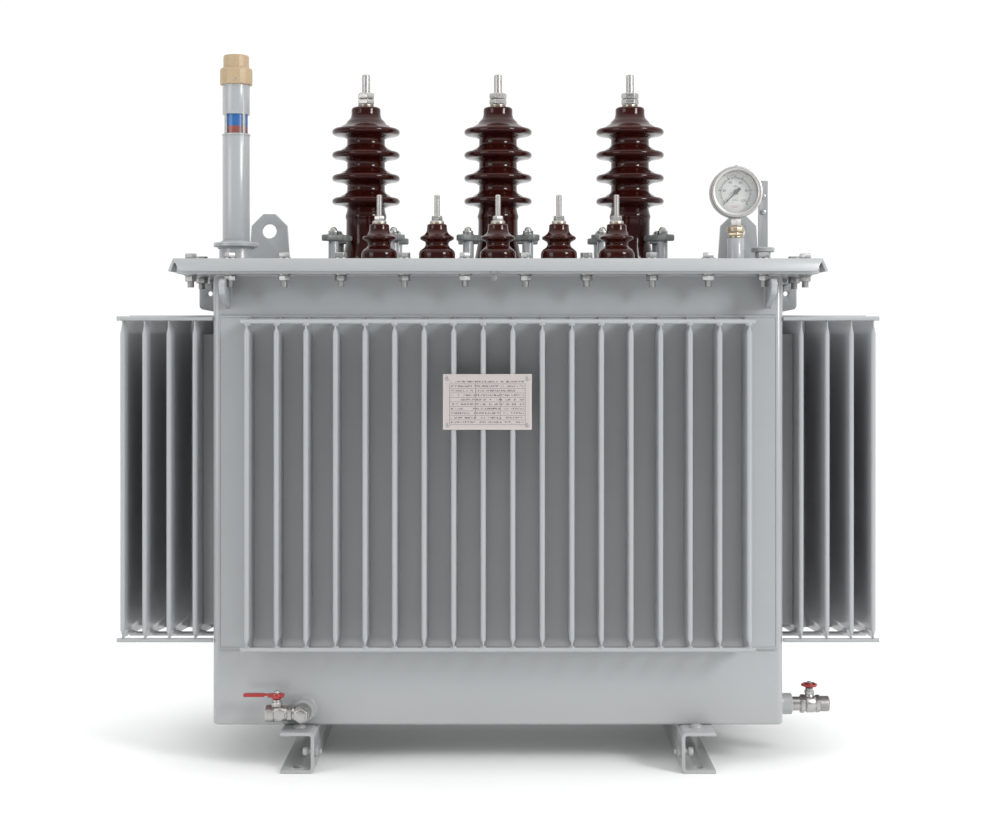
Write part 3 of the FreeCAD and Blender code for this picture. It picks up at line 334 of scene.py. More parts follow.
def plate_finish(shade, where):
    """Brushed plate with rows of worn, unreadable marks between its rules."""
    finish = Finish("nameplate_metal", Metallic=0.5)
    brushed = finish.noise(90.0, 4.0, 0.6, (1.0, 1.0, 14.0))
    rows, frame_edge, side_edge = 10, 0.009, 0.013
    row = (where.size.z - 2 * frame_edge) / rows
    height = (finish.axis("Z") - (where.low.z + frame_edge)) * (1 / row)
    across = finish.math("FRACT", height)
    strokes = finish.noise(620.0, 2.0, 0.5, (1.0, 1.0, 0.5)) > 0.5
    words = finish.noise(95.0, 1.0, 0.5, (1.0, 1.0, 0.6)) > 0.42
    inside = ((finish.axis("X") > where.low.x + side_edge)
              * (finish.axis("X") < where.high.x - side_edge))
    ruled = (across > 0.30) * (across < 0.68) * (height > 0) * (height < rows) * inside
    marks = strokes * words * ruled
    finish.colour(marks * 0.75, shade, (0.05, 0.046, 0.048))
    finish.set("Roughness", brushed * 0.2 + 0.32)
    return finish.material


def casting_finish(shade):
    """Painted casting with a sandy skin and worn high spots."""
    finish = Finish("cast_claw", Metallic=0.35)
    sand = finish.noise(520.0, 5.0, 0.7)
    worn = finish.noise(70.0, 4.0)
    finish.colour((worn > 0.58) * 0.35, shaded(shade, 0.9), shaded(shade, 1.9))
    finish.set("Roughness", sand * 0.3 + 0.32)
    finish.bump(sand, 0.55, 0.0006)
    return finish.material


def clouded_finish(name, noise, dark, light, rough, relief=None, alpha=None, **constants):
    """Finish that follows one noise, with a fine relief and clearness where asked."""
    finish = Finish(name, Metallic=0.0, **constants)
    clouds = finish.noise(*noise)
    finish.colour(clouds, dark, light)
    finish.set("Roughness", clouds * rough[0] + rough[1])
    if alpha:
        finish.set("Alpha", clouds * alpha[0] + alpha[1])
    if relief:
        scale, detail, strength = relief
        finish.bump(finish.noise(scale, detail), strength, 0.0004)
    return finish.material


def plastic_finish(name, shade):
    """Moulded plastic with a fine grain and faint flow marks."""
    return clouded_finish(name, (30.0, 3.0, 0.5, (1.0, 1.0, 0.3)), shaded(shade, 0.88),
                          shaded(shade, 1.08), (0.15, 0.35), (700.0, 2.0, 0.12), IOR=1.47)


def red_finish(shade):
    """Thick red dip coat, scuffed at random."""
    finish = Finish("red_dip_coat", Metallic=0.0)
    scuffs = finish.noise(120.0, 5.0, 0.6)
    finish.colour((scuffs > 0.62) * 0.5, shade, shaded(shade, 0.5))
    finish.set("Roughness", scuffs * 0.25 + 0.22)
    finish.set("Coat Weight", 0.5)
    finish.bump(finish.noise(90.0, 3.0), 0.25, 0.0008)
    return finish.material


def float_finish(upper, lower, change):
    """Two-colour level float, blue above and red-brown below."""
    finish = Finish("level_float_colours", Metallic=0.0)
    ribs = finish.noise(90.0, 2.0, 0.5, (1.0, 1.0, 0.02))
    above = finish.axis("Z") > change
    finish.colour(ribs * 0.5, finish.blend(above, lower, upper), shaded(upper, 0.35))
    finish.set("Roughness", ribs * 0.2 + 0.18)
    return finish.material


def rubber_finish():
    """Black sealing rubber with a chalky bloom."""
    return clouded_finish("gasket_rubber", (50.0, 4.0), (0.010, 0.010, 0.011),
                          (0.035, 0.034, 0.033), (0.2, 0.6), (400.0, 3.0, 0.2))


def dial_finish(shade):
    """Printed dial card, slightly clouded."""
    return clouded_finish("dial_card", (55.0, 3.0), shaded(shade, 0.94), shaded(shade, 1.05),
                          (0.1, 0.4))


def ink_finish(name, shade):
    """Printed or lacquered marks."""
    return clouded_finish(name, (200.0, 3.0), shaded(shade, 0.8), shaded(shade, 1.4), (0.2, 0.3))


def glass_finish():
    """Clear pane with a faint smear."""
    return clouded_finish("gauge_pane", (25.0, 3.0), (0.90, 0.93, 0.93), (1.0, 1.0, 1.0),
                          (0.02, 0.01), alpha=(0.04, 0.06), IOR=1.45)


def make_finishes():
    """All finishes, by the name that the pieces ask for."""
    shades = colours()
    colour_change = Box("level_float").middle.z - 0.004
    return {
        "paint": paint_finish("grey_paint", shades.paint),
        "dull_paint": paint_finish("grey_paint_dull", shaded(shades.paint, 0.93), 0.36),
        "porcelain": porcelain_finish(shades.porcelain),
        "tin": metal_finish("tinned_terminal", shades.tin, 0.34, 260.0, 0.2),
        "zinc": metal_finish("zinc_fastener", shades.zinc, 0.38, 300.0, 0.2, 0.35),
        "casting": casting_finish(shades.casting),
        "nickel": metal_finish("nickel_valve", shades.nickel, 0.30, 220.0, 0.18, 0.35),
        "red": red_finish(shades.red),
        "tan": plastic_finish("tan_cap", shades.tan),
        "float": float_finish(shades.blue, shades.rust_red, colour_change),
        "rubber": rubber_finish(),
        "brass": metal_finish("brass_union", shades.brass, 0.36, 180.0, 0.25, 0.4),
        "steel": metal_finish("stainless_case", shades.steel, 0.42, 240.0, 0.1, 0.15),
        "dial": dial_finish(shades.dial),
        "ink": ink_finish("black_ink", (0.012, 0.012, 0.014)),
        "red_ink": ink_finish("red_ink", (0.35, 0.03, 0.03)),
        "plate": plate_finish(shades.plate, Box("nameplate")),
        "glass": glass_finish(),
    }


FINISHES = {}

# The finish of each slot that the frame names
SLOTS = {"paint": "paint", "porcelain": "porcelain", "tinned_metal": "tin",
         "cast_grey": "casting", "post_paint": "paint", "nickel": "nickel",
         "red_handle": "red", "tan_plastic": "tan", "float_plastic": "float",
         "gasket_rubber": "rubber", "gauge_steel": "steel", "union_brass": "brass",
         "dial_white": "dial", "pointer_black": "ink", "window_glass": "glass",
         "plate_metal": "plate"}


# Modelling helpers

def deselect():
    """Leaves edit mode and selects nothing."""
    if bpy.context.object and bpy.context.object.mode != "OBJECT":
        bpy.ops.object.mode_set(mode="OBJECT")
    bpy.ops.object.select_all(action="DESELECT")


def pick(*objects):
    """Selects only these objects, the first one active."""
    deselect()
    for item in objects:
        item.select_set(True)
    bpy.context.view_layer.objects.active = objects[0]


def apply_place(item):
    """Moves an object's place, turn and scale into its mesh."""
    pick(item)
    bpy.ops.object.transform_apply(location=True, rotation=True, scale=True)
    return item


def modified(item, kind, **settings):
    """Adds a modifier and applies it."""
    pick(item)
    modifier = item.modifiers.new(kind.lower(), kind)
    for key, value in settings.items():
        setattr(modifier, key, value)
    bpy.ops.object.modifier_apply(modifier=modifier.name)
    return item


def rounded(item, width, segments=2, angle=35):
    """Rounds the edges that turn more than an angle."""
    return modified(item, "BEVEL", width=width, segments=segments, limit_method="ANGLE",
                    angle_limit=math.radians(angle), use_clamp_overlap=True,
                    miter_outer="MITER_ARC")


def smooth(item, angle=40):
    """Smooth shading below an angle."""
    pick(item)
    bpy.ops.object.shade_smooth_by_angle(angle=math.radians(angle))
    return item


def edit_mode(kind="FACE", action="SELECT"):
    """Enters edit mode with everything selected, or nothing."""
    bpy.ops.object.mode_set(mode="EDIT")
    bpy.ops.mesh.select_mode(type=kind)
    bpy.ops.mesh.select_all(action=action)


def turn_outwards():
    """Turns every face outwards and leaves edit mode."""
    bpy.ops.mesh.select_all(action="SELECT")
    bpy.ops.mesh.normals_make_consistent(inside=False)
    bpy.ops.object.mode_set(mode="OBJECT")


def select_vertices(item, wanted):
    """In edit mode, selects the vertices for which wanted(place) holds."""
    edit_mode("VERT", "DESELECT")
    bpy.ops.object.mode_set(mode="OBJECT")
    for vertex in item.data.vertices:
        vertex.select = wanted(vertex.co)
    bpy.ops.object.mode_set(mode="EDIT")


def shifted(item, wanted, move):
    """Moves the vertices for which wanted(place) holds."""
    select_vertices(item, wanted)
    bpy.ops.transform.translate(value=move)
    bpy.ops.object.mode_set(mode="OBJECT")
    return item


def resized(item, wanted, ratios, about=(0, 0, 0)):
    """Scales the vertices for which wanted(place) holds, about a point."""
    select_vertices(item, wanted)
    bpy.ops.transform.resize(value=ratios, center_override=about)
    bpy.ops.object.mode_set(mode="OBJECT")
    return item


def extrude(move, ratios, about):
    """Extrudes what is selected and scales its new end about a point."""
    bpy.ops.mesh.extrude_region_move(TRANSFORM_OT_translate={"value": move})
    bpy.ops.transform.resize(value=ratios, center_override=about)


def disc(segments, radius, place=(0, 0, 0), fill="NGON"):
    """Flat round or many-sided outline to be extruded."""
    deselect()
    bpy.ops.mesh.primitive_circle_add(vertices=segments, radius=radius, fill_type=fill,
                                      location=place)
    return apply_place(bpy.context.object)


def block(middle, size):
    """Square block to be shaped."""
    deselect()
    bpy.ops.mesh.primitive_cube_add(size=1, location=middle, scale=size)
    return apply_place(bpy.context.object)


def wire_ring(radius, thick, steps, around, place=(0, 0, 0), turn=(0, 0, 0)):
    """Ring of round wire to be shaped."""
    deselect()
    bpy.ops.mesh.primitive_torus_add(location=place, rotation=turn, major_radius=radius,
                                     minor_radius=thick, major_segments=steps,
                                     minor_segments=around)
    return apply_place(bpy.context.object)


def lathe(profile, place=(0, 0, 0), segments=48):
    """Round or many-sided piece on an upright axis, from (radius, height) pairs."""
    x, y, z = place
    radius, height = profile[0]
    item = disc(segments, radius, (x, y, z + height))
    edit_mode()
    for next_radius, next_height in profile[1:]:
        ratio = next_radius / radius
        extrude((0, 0, next_height - height), (ratio, ratio, 1), (x, y, z + next_height))
        radius, height = next_radius, next_height
    turn_outwards()
    return item


def arc(middle, radius, start, end, steps):
    """Points of a round stretch of a profile, angles in degrees."""
    points = []
    for step in range(steps + 1):
        angle = math.radians(start + (end - start) * step / steps)
        points.append((middle[0] + radius * math.cos(angle), middle[1] + radius * math.sin(angle)))
    return points


def aim(item, direction, place):
    """Turns a piece made upright at the origin towards a direction, and moves it to its place."""
    item.rotation_euler = Vector(direction).to_track_quat("Z", "Y").to_euler()
    item.location = place
    return apply_place(item)


def slab(low, high, width, segments=2):
    """Plate between two corners, with its edges rounded."""
    low, high = Vector(low), Vector(high)
    return rounded(block((low + high) / 2, high - low), width, segments)


def joined(items):
    """Several objects as one."""
    pick(*items)
    if len(items) > 1:
        bpy.ops.object.join()
    return bpy.context.view_layer.objects.active


def repeated(item, places, turns=None):
    """A copy of a piece at each place, each with its own mesh, joined into one."""
    copies = []
    for index, place in enumerate(places):
        copy = item.copy()
        copy.data = item.data.copy()
        bpy.context.scene.collection.objects.link(copy)
        copy.location = place
        if turns:
            copy.rotation_euler = (0, 0, math.radians(turns[index]))
        copies.append(copy)
    bpy.data.objects.remove(item)
    bpy.context.view_layer.update()
    return apply_place(joined(copies))


def softened(node, width):
    """Copy of a node with its doubles merged and its edges rounded."""
    source = frame["nodes"][node]
    item = bpy.data.objects.new(node + "_shape", source.data.copy())
    bpy.context.scene.collection.objects.link(item)
    item.data.materials.clear()
    pick(item)
    edit_mode("VERT")
    bpy.ops.mesh.remove_doubles(threshold=NEAR)
    bpy.ops.mesh.dissolve_limited(angle_limit=math.radians(1))
    bpy.ops.object.mode_set(mode="OBJECT")
    return smooth(rounded(item, width), 30)


def crisp(parts, width, angle=25):
    """Turned parts as one, with thin chamfers and smooth flanks."""
    return smooth(rounded(joined(parts), width, 1, 30), angle)


def finished(item, finish):
    """Gives an item its finish."""
    item.data.materials.clear()
    item.data.materials.append(FINISHES[finish])
    return item


def put(item, name, slot, node=None, body=STATIC, finish=None):
    """Names a piece and makes it ride on a body; parts that have a finish keep it."""
    item.name = name
    item.data.name = name
    if not item.data.materials:
        finished(item, finish or SLOTS[slot])
    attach(item, body)
    if node:
        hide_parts(node)


def threaded(radius, low, high, pitch=0.002, depth=0.0006):
    """Profile of a threaded bar, from low to high, with a chamfered end."""
    points = [(radius - depth, low)]
    turns = int((high - low - 2 * depth) / pitch)
    for turn in range(turns):
        bottom = low + turn * pitch
        points.append((radius, bottom + pitch * 0.5))
        points.append((radius - depth, bottom + pitch))
    points.append((radius - depth, high - 2 * depth))
    points.append((radius - 3 * depth, high))
    return points


def nut(corner, low, high, place=(0, 0, 0)):
    """Hexagonal nut or head with chamfered corners."""
    cut = (high - low) * 0.14
    return lathe([(corner * 0.90, low), (corner, low + cut), (corner, high - cut),
                  (corner * 0.90, high)], place, 6)


def hexagon(corner, low, high, width):
    """Hexagonal end of a fitting, with soft edges."""
    return rounded(nut(corner, low, high), width, 2, 30)


# Operators

class Builder(bpy.types.Operator):
    """Shared part of the operators that build pieces."""
    bl_options = {"REGISTER", "UNDO"}

    def build(self):
        raise NotImplementedError

    def execute(self, context):
        self.build()
        deselect()
        return {"FINISHED"}


class TRANSFORMER_OT_finishes(Builder):
    """Makes the finishes and gives every frame node its own"""
    bl_idname = "transformer.finishes"
    bl_label = "Finishes"

    def build(self):
        FINISHES.update(make_finishes())
        for part in frame["record"]["subparts"]:
            finished(frame["nodes"][part["node"]], SLOTS[part["material_slot"]])


class TRANSFORMER_OT_tank(Builder):
    """Tank, rim, lid, feet, wing ducts and other plain parts, with rounded edges"""
    bl_idname = "transformer.tank"
    bl_label = "Tank and plates"

    plates = ("tank_body", "tank_rim_flange", "lid", *FEET, "left_wing_duct", "right_wing_duct",
              "wing_closing_strips", "lid_lifting_lugs", "end_lugs", "pocket_bar", "filler_pipe")

    def build(self):
        for node in self.plates:
            item = softened(node, sizes().edge)
            put(item, node + "_plate", "paint", node)


class TRANSFORMER_OT_tank_lugs(Builder):
    """Hook-shaped lugs at the corners of the tank"""
    bl_idname = "transformer.tank_lugs"
    bl_label = "Tank lugs"

    inset = 0.027
    thickness = 0.010
    nose = 0.026

    def hook(self, where):
        """Lug on the front wall, with a round nose above a sloping foot."""
        low, high, tip = where.low.z, where.high.z, where.low.y
        item = block((0, (tip + TANK.low.y) / 2, (low + high) / 2),
                     (self.thickness, TANK.low.y - tip, high - low))
        select_vertices(item, lambda co: co.y < tip + NEAR and co.z < low + NEAR)
        bpy.ops.transform.translate(value=(0, 0, high - low - self.nose))
        bpy.ops.mesh.bevel(offset=0.012, segments=6, affect="EDGES")
        select_vertices(item, lambda co: co.y < tip + NEAR and co.z > high - NEAR)
        bpy.ops.mesh.bevel(offset=0.011, segments=6, affect="EDGES")
        bpy.ops.object.mode_set(mode="OBJECT")
        return smooth(rounded(item, sizes().edge, 2, 50), 40)

    def build(self):
        reach = TANK.high.x - self.inset
        places = [(x, 0, 0) for x in (-reach, -reach, reach, reach)]
        hooks = repeated(self.hook(Box("tank_lugs")), places, (0, 180, 0, 180))
        put(hooks, "tank_lug_set", "paint", "tank_lugs")


def fin_stations(rise, press):
    """Height, thinness and reach of a fin's sections near one end."""
    stations = [(share * rise, 0.29, 0.04 + 0.96 * share) for share in (0, 0.25, 0.5, 0.75, 1)]
    for share, thin in ((0.35, 0.36), (0.5, 0.48), (0.66, 0.66), (0.82, 0.86), (1.0, 1.0)):
        stations.append((rise + share * (press - rise), thin, 1.0))
    return stations


def pressed_fin(depth, height, top_rise):
    """Upright fin from the origin towards -Y, smooth and pressed flat at both ends."""
    dims = sizes()
    half = dims.fin_thickness / 2
    tip = half - depth
    item = disc(24, half, (0, tip, 0))
    shifted(item, lambda co: co.y > tip + half * 0.1, (0, -tip, 0))
    resized(item, lambda co: co.y > tip + half * 0.9, (1, 0, 1))
    edit_mode()
    top = fin_stations(top_rise, dims.fin_press)
    stations = fin_stations(dims.fin_rise, dims.fin_press)
    stations += [(height - z, thin, reach) for z, thin, reach in reversed(top)]
    thin_now, reach_now, z_now = 1.0, 1.0, 0.0
    for z, thin, reach in stations:
        ratios = (thin / thin_now, reach / reach_now, 1)
        if z > 0:
            extrude((0, 0, z - z_now), ratios, (0, 0, z))
        else:
            bpy.ops.transform.resize(value=ratios, center_override=(0, 0, z))
        thin_now, reach_now, z_now = thin, reach, z
    turn_outwards()
    return smooth(item, 50)


def fin_middles():
    """Places of the front fins along X."""
    pitch = sizes().fin_pitch
    number = int(Box("fin_panel_rods").size.x / pitch) + 1
    return [(index - (number - 1) / 2) * pitch for index in range(number)]


class TRANSFORMER_OT_fin_panels(Builder):
    """Front and rear corrugated walls"""
    bl_idname = "transformer.fin_panels"
    bl_label = "Fin panels"

    def build(self):
        panel = Box("front_fin_panel")
        low, high = panel.low, panel.high
        for name, turn in (("front", 0), ("rear", 180)):
            fin = pressed_fin(SHEET_Y - low.y, panel.size.z, sizes().fin_rise)
            fins = repeated(fin, [(x, SHEET_Y, low.z) for x in fin_middles()])
            back = slab((low.x, SHEET_Y, low.z), (high.x, TANK.low.y, high.z), 0.0008)
            item = joined([fins, back])
            item.rotation_euler = (0, 0, math.radians(turn))
            put(apply_place(item), name + "_fin_wall", "paint", name + "_fin_panel")


class TRANSFORMER_OT_wing_fins(Builder):
    """Cooling fins of the two wings"""
    bl_idname = "transformer.wing_fins"
    bl_label = "Wing fins"

    offsets = (0.0305, 0.0755, 0.1175, 0.1555)

    def build(self):
        for name, side in WINGS:
            duct = Box(name + "_wing_duct")
            fin = pressed_fin(-Box(name + "_wing_fins").low.y, duct.size.z, sizes().wing_rise)
            places = []
            for offset in self.offsets:
                places += [(side * (TANK.high.x + offset), 0, duct.low.z)] * 2
            item = repeated(fin, places, (0, 180) * len(self.offsets))
            put(item, name + "_wing_fin_set", "paint", name + "_wing_fins")


def bead(start, end, width):
    """Weld bead with its ripples, along a straight line."""
    start, end = Vector(start), Vector(end)
    long = (end - start).length
    number = max(int(long / (width * 0.8)), 2)
    ripple = long / number
    item = disc(8, width * 0.42, fill="NOTHING")
    edit_mode("VERT")
    for ratio in (1.19, 1 / 1.19):
        bpy.ops.mesh.extrude_edges_move(TRANSFORM_OT_translate={"value": (0, 0, ripple / 2)})
        bpy.ops.transform.resize(value=(ratio, ratio, 1), center_override=(0, 0, 0))
    bpy.ops.object.mode_set(mode="OBJECT")
    modified(item, "ARRAY", count=number, use_relative_offset=False, use_constant_offset=True,
             constant_offset_displace=(0, 0, ripple), use_merge_vertices=True,
             merge_threshold=NEAR)
    edit_mode("VERT")
    bpy.ops.mesh.fill_holes(sides=0)
    turn_outwards()
    return smooth(aim(item, end - start, start), 60)


def ring_bead(radius, width, place):
    """Round weld bead with its ripples, about an upright axis."""
    steps = 48
    item = wire_ring(radius, width * 0.45, steps, 8)
    resized(item, lambda co: round(math.atan2(co.y, co.x) / math.tau * steps) % 2,
            (1.012, 1.012, 1.25))
    item.location = place
    return smooth(apply_place(item), 60)


class TRANSFORMER_OT_weld_beads(Builder):
    """Weld beads on the tank, the panels, the feet and the lugs"""
    bl_idname = "transformer.weld_beads"
    bl_label = "Weld beads"

    def welds(self, name, lines):
        """One piece of beads, from lines with a start, an end and a share of the full width."""
        width = sizes().bead
        beads = [bead(start, end, width * share) for start, end, share in lines]
        put(joined(beads), name, "paint", finish="dull_paint")

    def tank_lines(self):
        """Round the front and rear sheets, and round the tank under its rim."""
        panel = Box("front_fin_panel")
        reach, low, high = panel.high.x - 0.001, panel.low.z, panel.high.z
        for face in SIDES:
            y = face * (TANK.high.y + 0.0015)
            for z in (low, high):
                yield (-reach, y, z), (reach, y, z), 1
            y = face * (TANK.high.y + 0.001)
            for x in (-reach, reach):
                yield (x, y, low), (x, y, high), 0.7
        inset = 0.006
        seam_x, z = TANK.high.x - inset, RIM.low.z
        for face in SIDES:
            x, y = face * TANK.high.x, face * TANK.high.y
            yield (-seam_x, y, z), (seam_x, y, z), 1
            yield (x, TANK.low.y + inset, z), (x, TANK.high.y - inset, z), 1

    def foot_lines(self):
        """Between the feet and the tank, and beside the wing ducts."""
        for node in FEET:
            foot = Box(node)
            z = foot.high.z
            for x in (foot.low.x + 0.008, foot.high.x - 0.001):
                yield (x, TANK.low.y + 0.01, z), (x, TANK.high.y - 0.01, z), 1
        for name, side in WINGS:
            duct = Box(name + "_wing_duct")
            x = side * TANK.high.x
            for y in (duct.low.y, duct.high.y):
                yield (x, y, duct.low.z), (x, y, duct.high.z - 0.026), 0.8

    def lug_lines(self):
        """At the foot of the lifting lugs, and beside the tank lugs."""
        lugs = Box("lid_lifting_lugs")
        inset, half = 0.038, 0.036
        for x in (lugs.low.x + inset, lugs.high.x - inset):
            for y in (lugs.low.y, lugs.high.y):
                yield (x - half, y, LID_TOP), (x + half, y, LID_TOP), 1
        hooks = Box("tank_lugs")
        lug = TRANSFORMER_OT_tank_lugs
        for side in SIDES:
            for face in SIDES:
                for edge in SIDES:
                    x = side * (TANK.high.x - lug.inset) + edge * lug.thickness / 2
                    y = face * TANK.high.y
                    yield (x, y, hooks.low.z), (x, y, hooks.high.z), 0.8

    def build(self):
        self.welds("tank_weld_beads", self.tank_lines())
        self.welds("foot_and_duct_weld_beads", self.foot_lines())
        self.welds("lug_weld_beads", self.lug_lines())


class TRANSFORMER_OT_rod_welds(Builder):
    """Weld spots where the rods cross the fins"""
    bl_idname = "transformer.rod_welds"
    bl_label = "Rod welds"

    def spot(self):
        """Flattened drop of weld."""
        deselect()
        bpy.ops.mesh.primitive_uv_sphere_add(segments=10, ring_count=6, radius=0.0052,
                                             scale=(1.25, 0.8, 0.9))
        item = apply_place(bpy.context.object)
        return smooth(resized(item, lambda co: co.z > 0.0005, (0.82, 0.9, 0.8)), 60)

    def rows(self, node, above, below):
        """Y and Z of each rod of a node."""
        rods = Box(node)
        inset = 0.004
        return [(y, z) for y in (rods.low.y + inset, rods.high.y - inset)
                for z in (rods.low.z + above, rods.high.z - below)]

    def build(self):
        places = [(x, *row) for x in fin_middles()
                  for row in self.rows("fin_panel_rods", 0.0078, 0.0078)]
        for name, side in WINGS:
            rows = self.rows(name + "_wing_rods", 0.0122, 0.0068)
            for offset in TRANSFORMER_OT_wing_fins.offsets:
                places += [(side * (TANK.high.x + offset), *row) for row in rows]
        put(repeated(self.spot(), places), "rod_weld_spots", "paint", finish="dull_paint")


class TRANSFORMER_OT_lid_bolts(Builder):
    """Bolts, washers and nuts round the lid"""
    bl_idname = "transformer.lid_bolts"
    bl_label = "Lid bolts"

    row = (-0.457, -0.365, -0.268, -0.160, -0.056, 0.047, 0.151, 0.263, 0.359, 0.453)
    overhang = 0.005
    corner_gap = 0.035

    def bolt(self):
        """Bolt with its washers and nut, its origin on the lid."""
        dims = sizes()
        corner = dims.bolt / 2
        wide = corner * 1.12
        washer = 0.0018
        grip = LID_TOP - RIM.low.z
        bottom = -grip - washer
        parts = [lathe([(wide, 0), (wide, washer)], segments=20),
                 nut(corner, washer, washer + dims.bolt_head),
                 lathe([(wide, bottom), (wide, -grip)], segments=20),
                 nut(corner, bottom - 0.010, bottom),
                 lathe(threaded(0.006, -grip - 0.022, -grip - 0.010, 0.00175), segments=12)]
        return crisp(parts, 0.0004)

    def build(self):
        dims = sizes()
        inset = dims.bolt_inset - self.overhang
        edge_x, edge_y = RIM.high.x - inset, RIM.high.y - inset
        places = [(x, face * edge_y, LID_TOP) for x in self.row for face in SIDES]
        for index in range(dims.side_bolts):
            y = (index / (dims.side_bolts - 1) - 0.5) * 2 * (edge_y - self.corner_gap)
            places += [(side * edge_x, y, LID_TOP) for side in SIDES]
        turns = [(37 * index) % 60 for index in range(len(places))]
        put(repeated(self.bolt(), places, turns), "lid_bolts", "tinned_metal", finish="zinc")


def hv_profile():
    """Outline of the tall porcelain: foot, ring, four sheds with drip lips, and head."""
    core, shed, rim = 0.0355, 0.064, 0.006
    points = [(0.0432, 0.0), (0.044, 0.0015), (0.044, 0.013), (0.0432, 0.017),
              (0.0385, 0.040), (0.0375, 0.045), (0.0372, 0.086), (0.0380, 0.0885),
              (0.0388, 0.092), (0.0388, 0.094), (0.0380, 0.0975), (0.0370, 0.100)]
    for index in range(4):
        height = 0.122 + index * 0.0437
        points += [(core, height - 0.0135), (core + 0.005, height - 0.0100),
                   (shed - 0.014, height - 0.0068)]
        points += arc((shed - rim, height), rim, -80, 72, 7)
        points += [(shed - 0.015, height + 0.0083), (core + 0.009, height + 0.0118),
                   (core + 0.003, height + 0.0150), (core + 0.0005, height + 0.0195)]
    points += [(0.0330, 0.2755), (0.0293, 0.2795), (0.0276, 0.286), (0.0275, 0.294)]
    points += arc((0.0225, 0.295), 0.005, 0, 90, 4)
    return points


class TRANSFORMER_OT_hv_bushings(Builder):
    """Tall glazed porcelains"""
    bl_idname = "transformer.hv_bushings"
    bl_label = "High-voltage bushings"

    def build(self):
        for node in HV_BUSHINGS:
            place = Box(node).foot
            put(smooth(lathe(hv_profile(), place, 64), 60), node + "_porcelain", "porcelain", node)
            seal = lathe([(0.0445, 0), (0.0452, 0.0008), (0.0452, 0.002), (0.0435, 0.0025)], place)
            put(smooth(seal), node + "_foot_seal", "gasket_rubber")


class TRANSFORMER_OT_hv_terminals(Builder):
    """Threaded studs with washers and nuts on the tall porcelains"""
    bl_idname = "transformer.hv_terminals"
    bl_label = "High-voltage terminals"

    def build(self):
        where = Box("hv_terminals")
        corner = 0.0165
        seal = lathe([(0.0135, 0), (0.0142, 0.0006), (0.0142, 0.0024), (0.013, 0.003)])
        metal = [lathe([(0.0150, 0.003), (0.0150, 0.005)]), nut(corner, 0.005, 0.0155),
                 nut(corner, 0.0157, 0.027),
                 lathe(threaded(0.008, 0.027, where.size.z), segments=28)]
        stud = joined([finished(crisp(metal, 0.0004), "tin"), finished(seal, "brass")])
        places = [(*Box(node).middle.xy, where.low.z) for node in HV_BUSHINGS]
        item = repeated(stud, places, (12, 40, 25))
        put(item, "hv_terminal_set", "tinned_metal", "hv_terminals")


class TRANSFORMER_OT_hv_clamps(Builder):
    """Cast claws, posts and cap nuts round the tall porcelains"""
    bl_idname = "transformer.hv_clamps"
    bl_label = "Clamps"

    reach = 0.056 * math.sqrt(2)

    def claw(self):
        """Claw along +X with its stud at the origin."""
        middle, half = 0.006, 0.012
        item = block((0, 0, middle), (2 * half, 0.0235, 0.0118))
        heel = [(0.010, 0.80, 1.0)]
        finger = [(0.012, 0.86, 1.0), (0.014, 0.80, 0.86), (0.0045, 0.62, 0.62)]
        for sign, steps in ((1, heel), (-1, finger)):
            select_vertices(item, lambda co: abs(co.x - sign * half) < NEAR)
            for move, wide, thick in steps:
                extrude((sign * move, 0, 0), (1, wide, thick), (0, 0, middle))
            bpy.ops.object.mode_set(mode="OBJECT")
        return finished(smooth(rounded(item, 0.0028, 3, 30), 50), "casting")

    def post(self):
        """Post with its weld fillet, washer and cap nut; the claw's seat is at 44 mm."""
        painted = lathe([(0.0135, 0), (0.0128, 0.0012), (0.0106, 0.003), (0.0097, 0.0055),
                         (0.0095, 0.010), (0.0095, 0.0425), (0.0088, 0.0438)], segments=32)
        top = 0.056
        washer = lathe([(0.0108, top), (0.0108, top + 0.0016)], segments=24)
        cap = nut(0.0098, top + 0.0016, top + 0.0075)
        dome = lathe([(0.0072, top + 0.0070)] + arc((0, top + 0.0078), 0.0068, 5, 80, 5),
                     segments=24)
        metal = smooth(rounded(joined([washer, cap, dome]), 0.0003, 1, 40), 35)
        return joined([finished(smooth(painted, 50), "paint"), finished(metal, "zinc")])

    def build(self):
        low = Box("hv_clamp_claws").low.z
        spots = []
        for node in HV_BUSHINGS:
            spots += arc(Box(node).middle, self.reach, 45, 315, 3)
        turns = (45, 135, 225, 315) * len(HV_BUSHINGS)
        put(repeated(self.claw(), [(x, y, low) for x, y in spots], turns), "hv_claw_set",
            "cast_grey", "hv_clamp_claws")
        put(repeated(self.post(), [(x, y, LID_TOP) for x, y in spots], turns), "hv_post_set",
            "post_paint", "hv_clamp_posts")


def lv_profile():
    """Outline of the short porcelain: drum foot, waist, shed and coned head."""
    points = [(0.0312, 0.0), (0.032, 0.001), (0.032, 0.0135), (0.0309, 0.0175), (0.0275, 0.0213),
              (0.0232, 0.0243), (0.0208, 0.0275), (0.0202, 0.0310), (0.0214, 0.0345)]
    points += arc((0.0266, 0.0412), 0.0035, -60, 75, 6)
    points += [(0.0236, 0.0470), (0.0202, 0.0500), (0.0181, 0.0540), (0.0175, 0.0620)]
    points += arc((0.0145, 0.063), 0.003, 0, 90, 3)
    return points


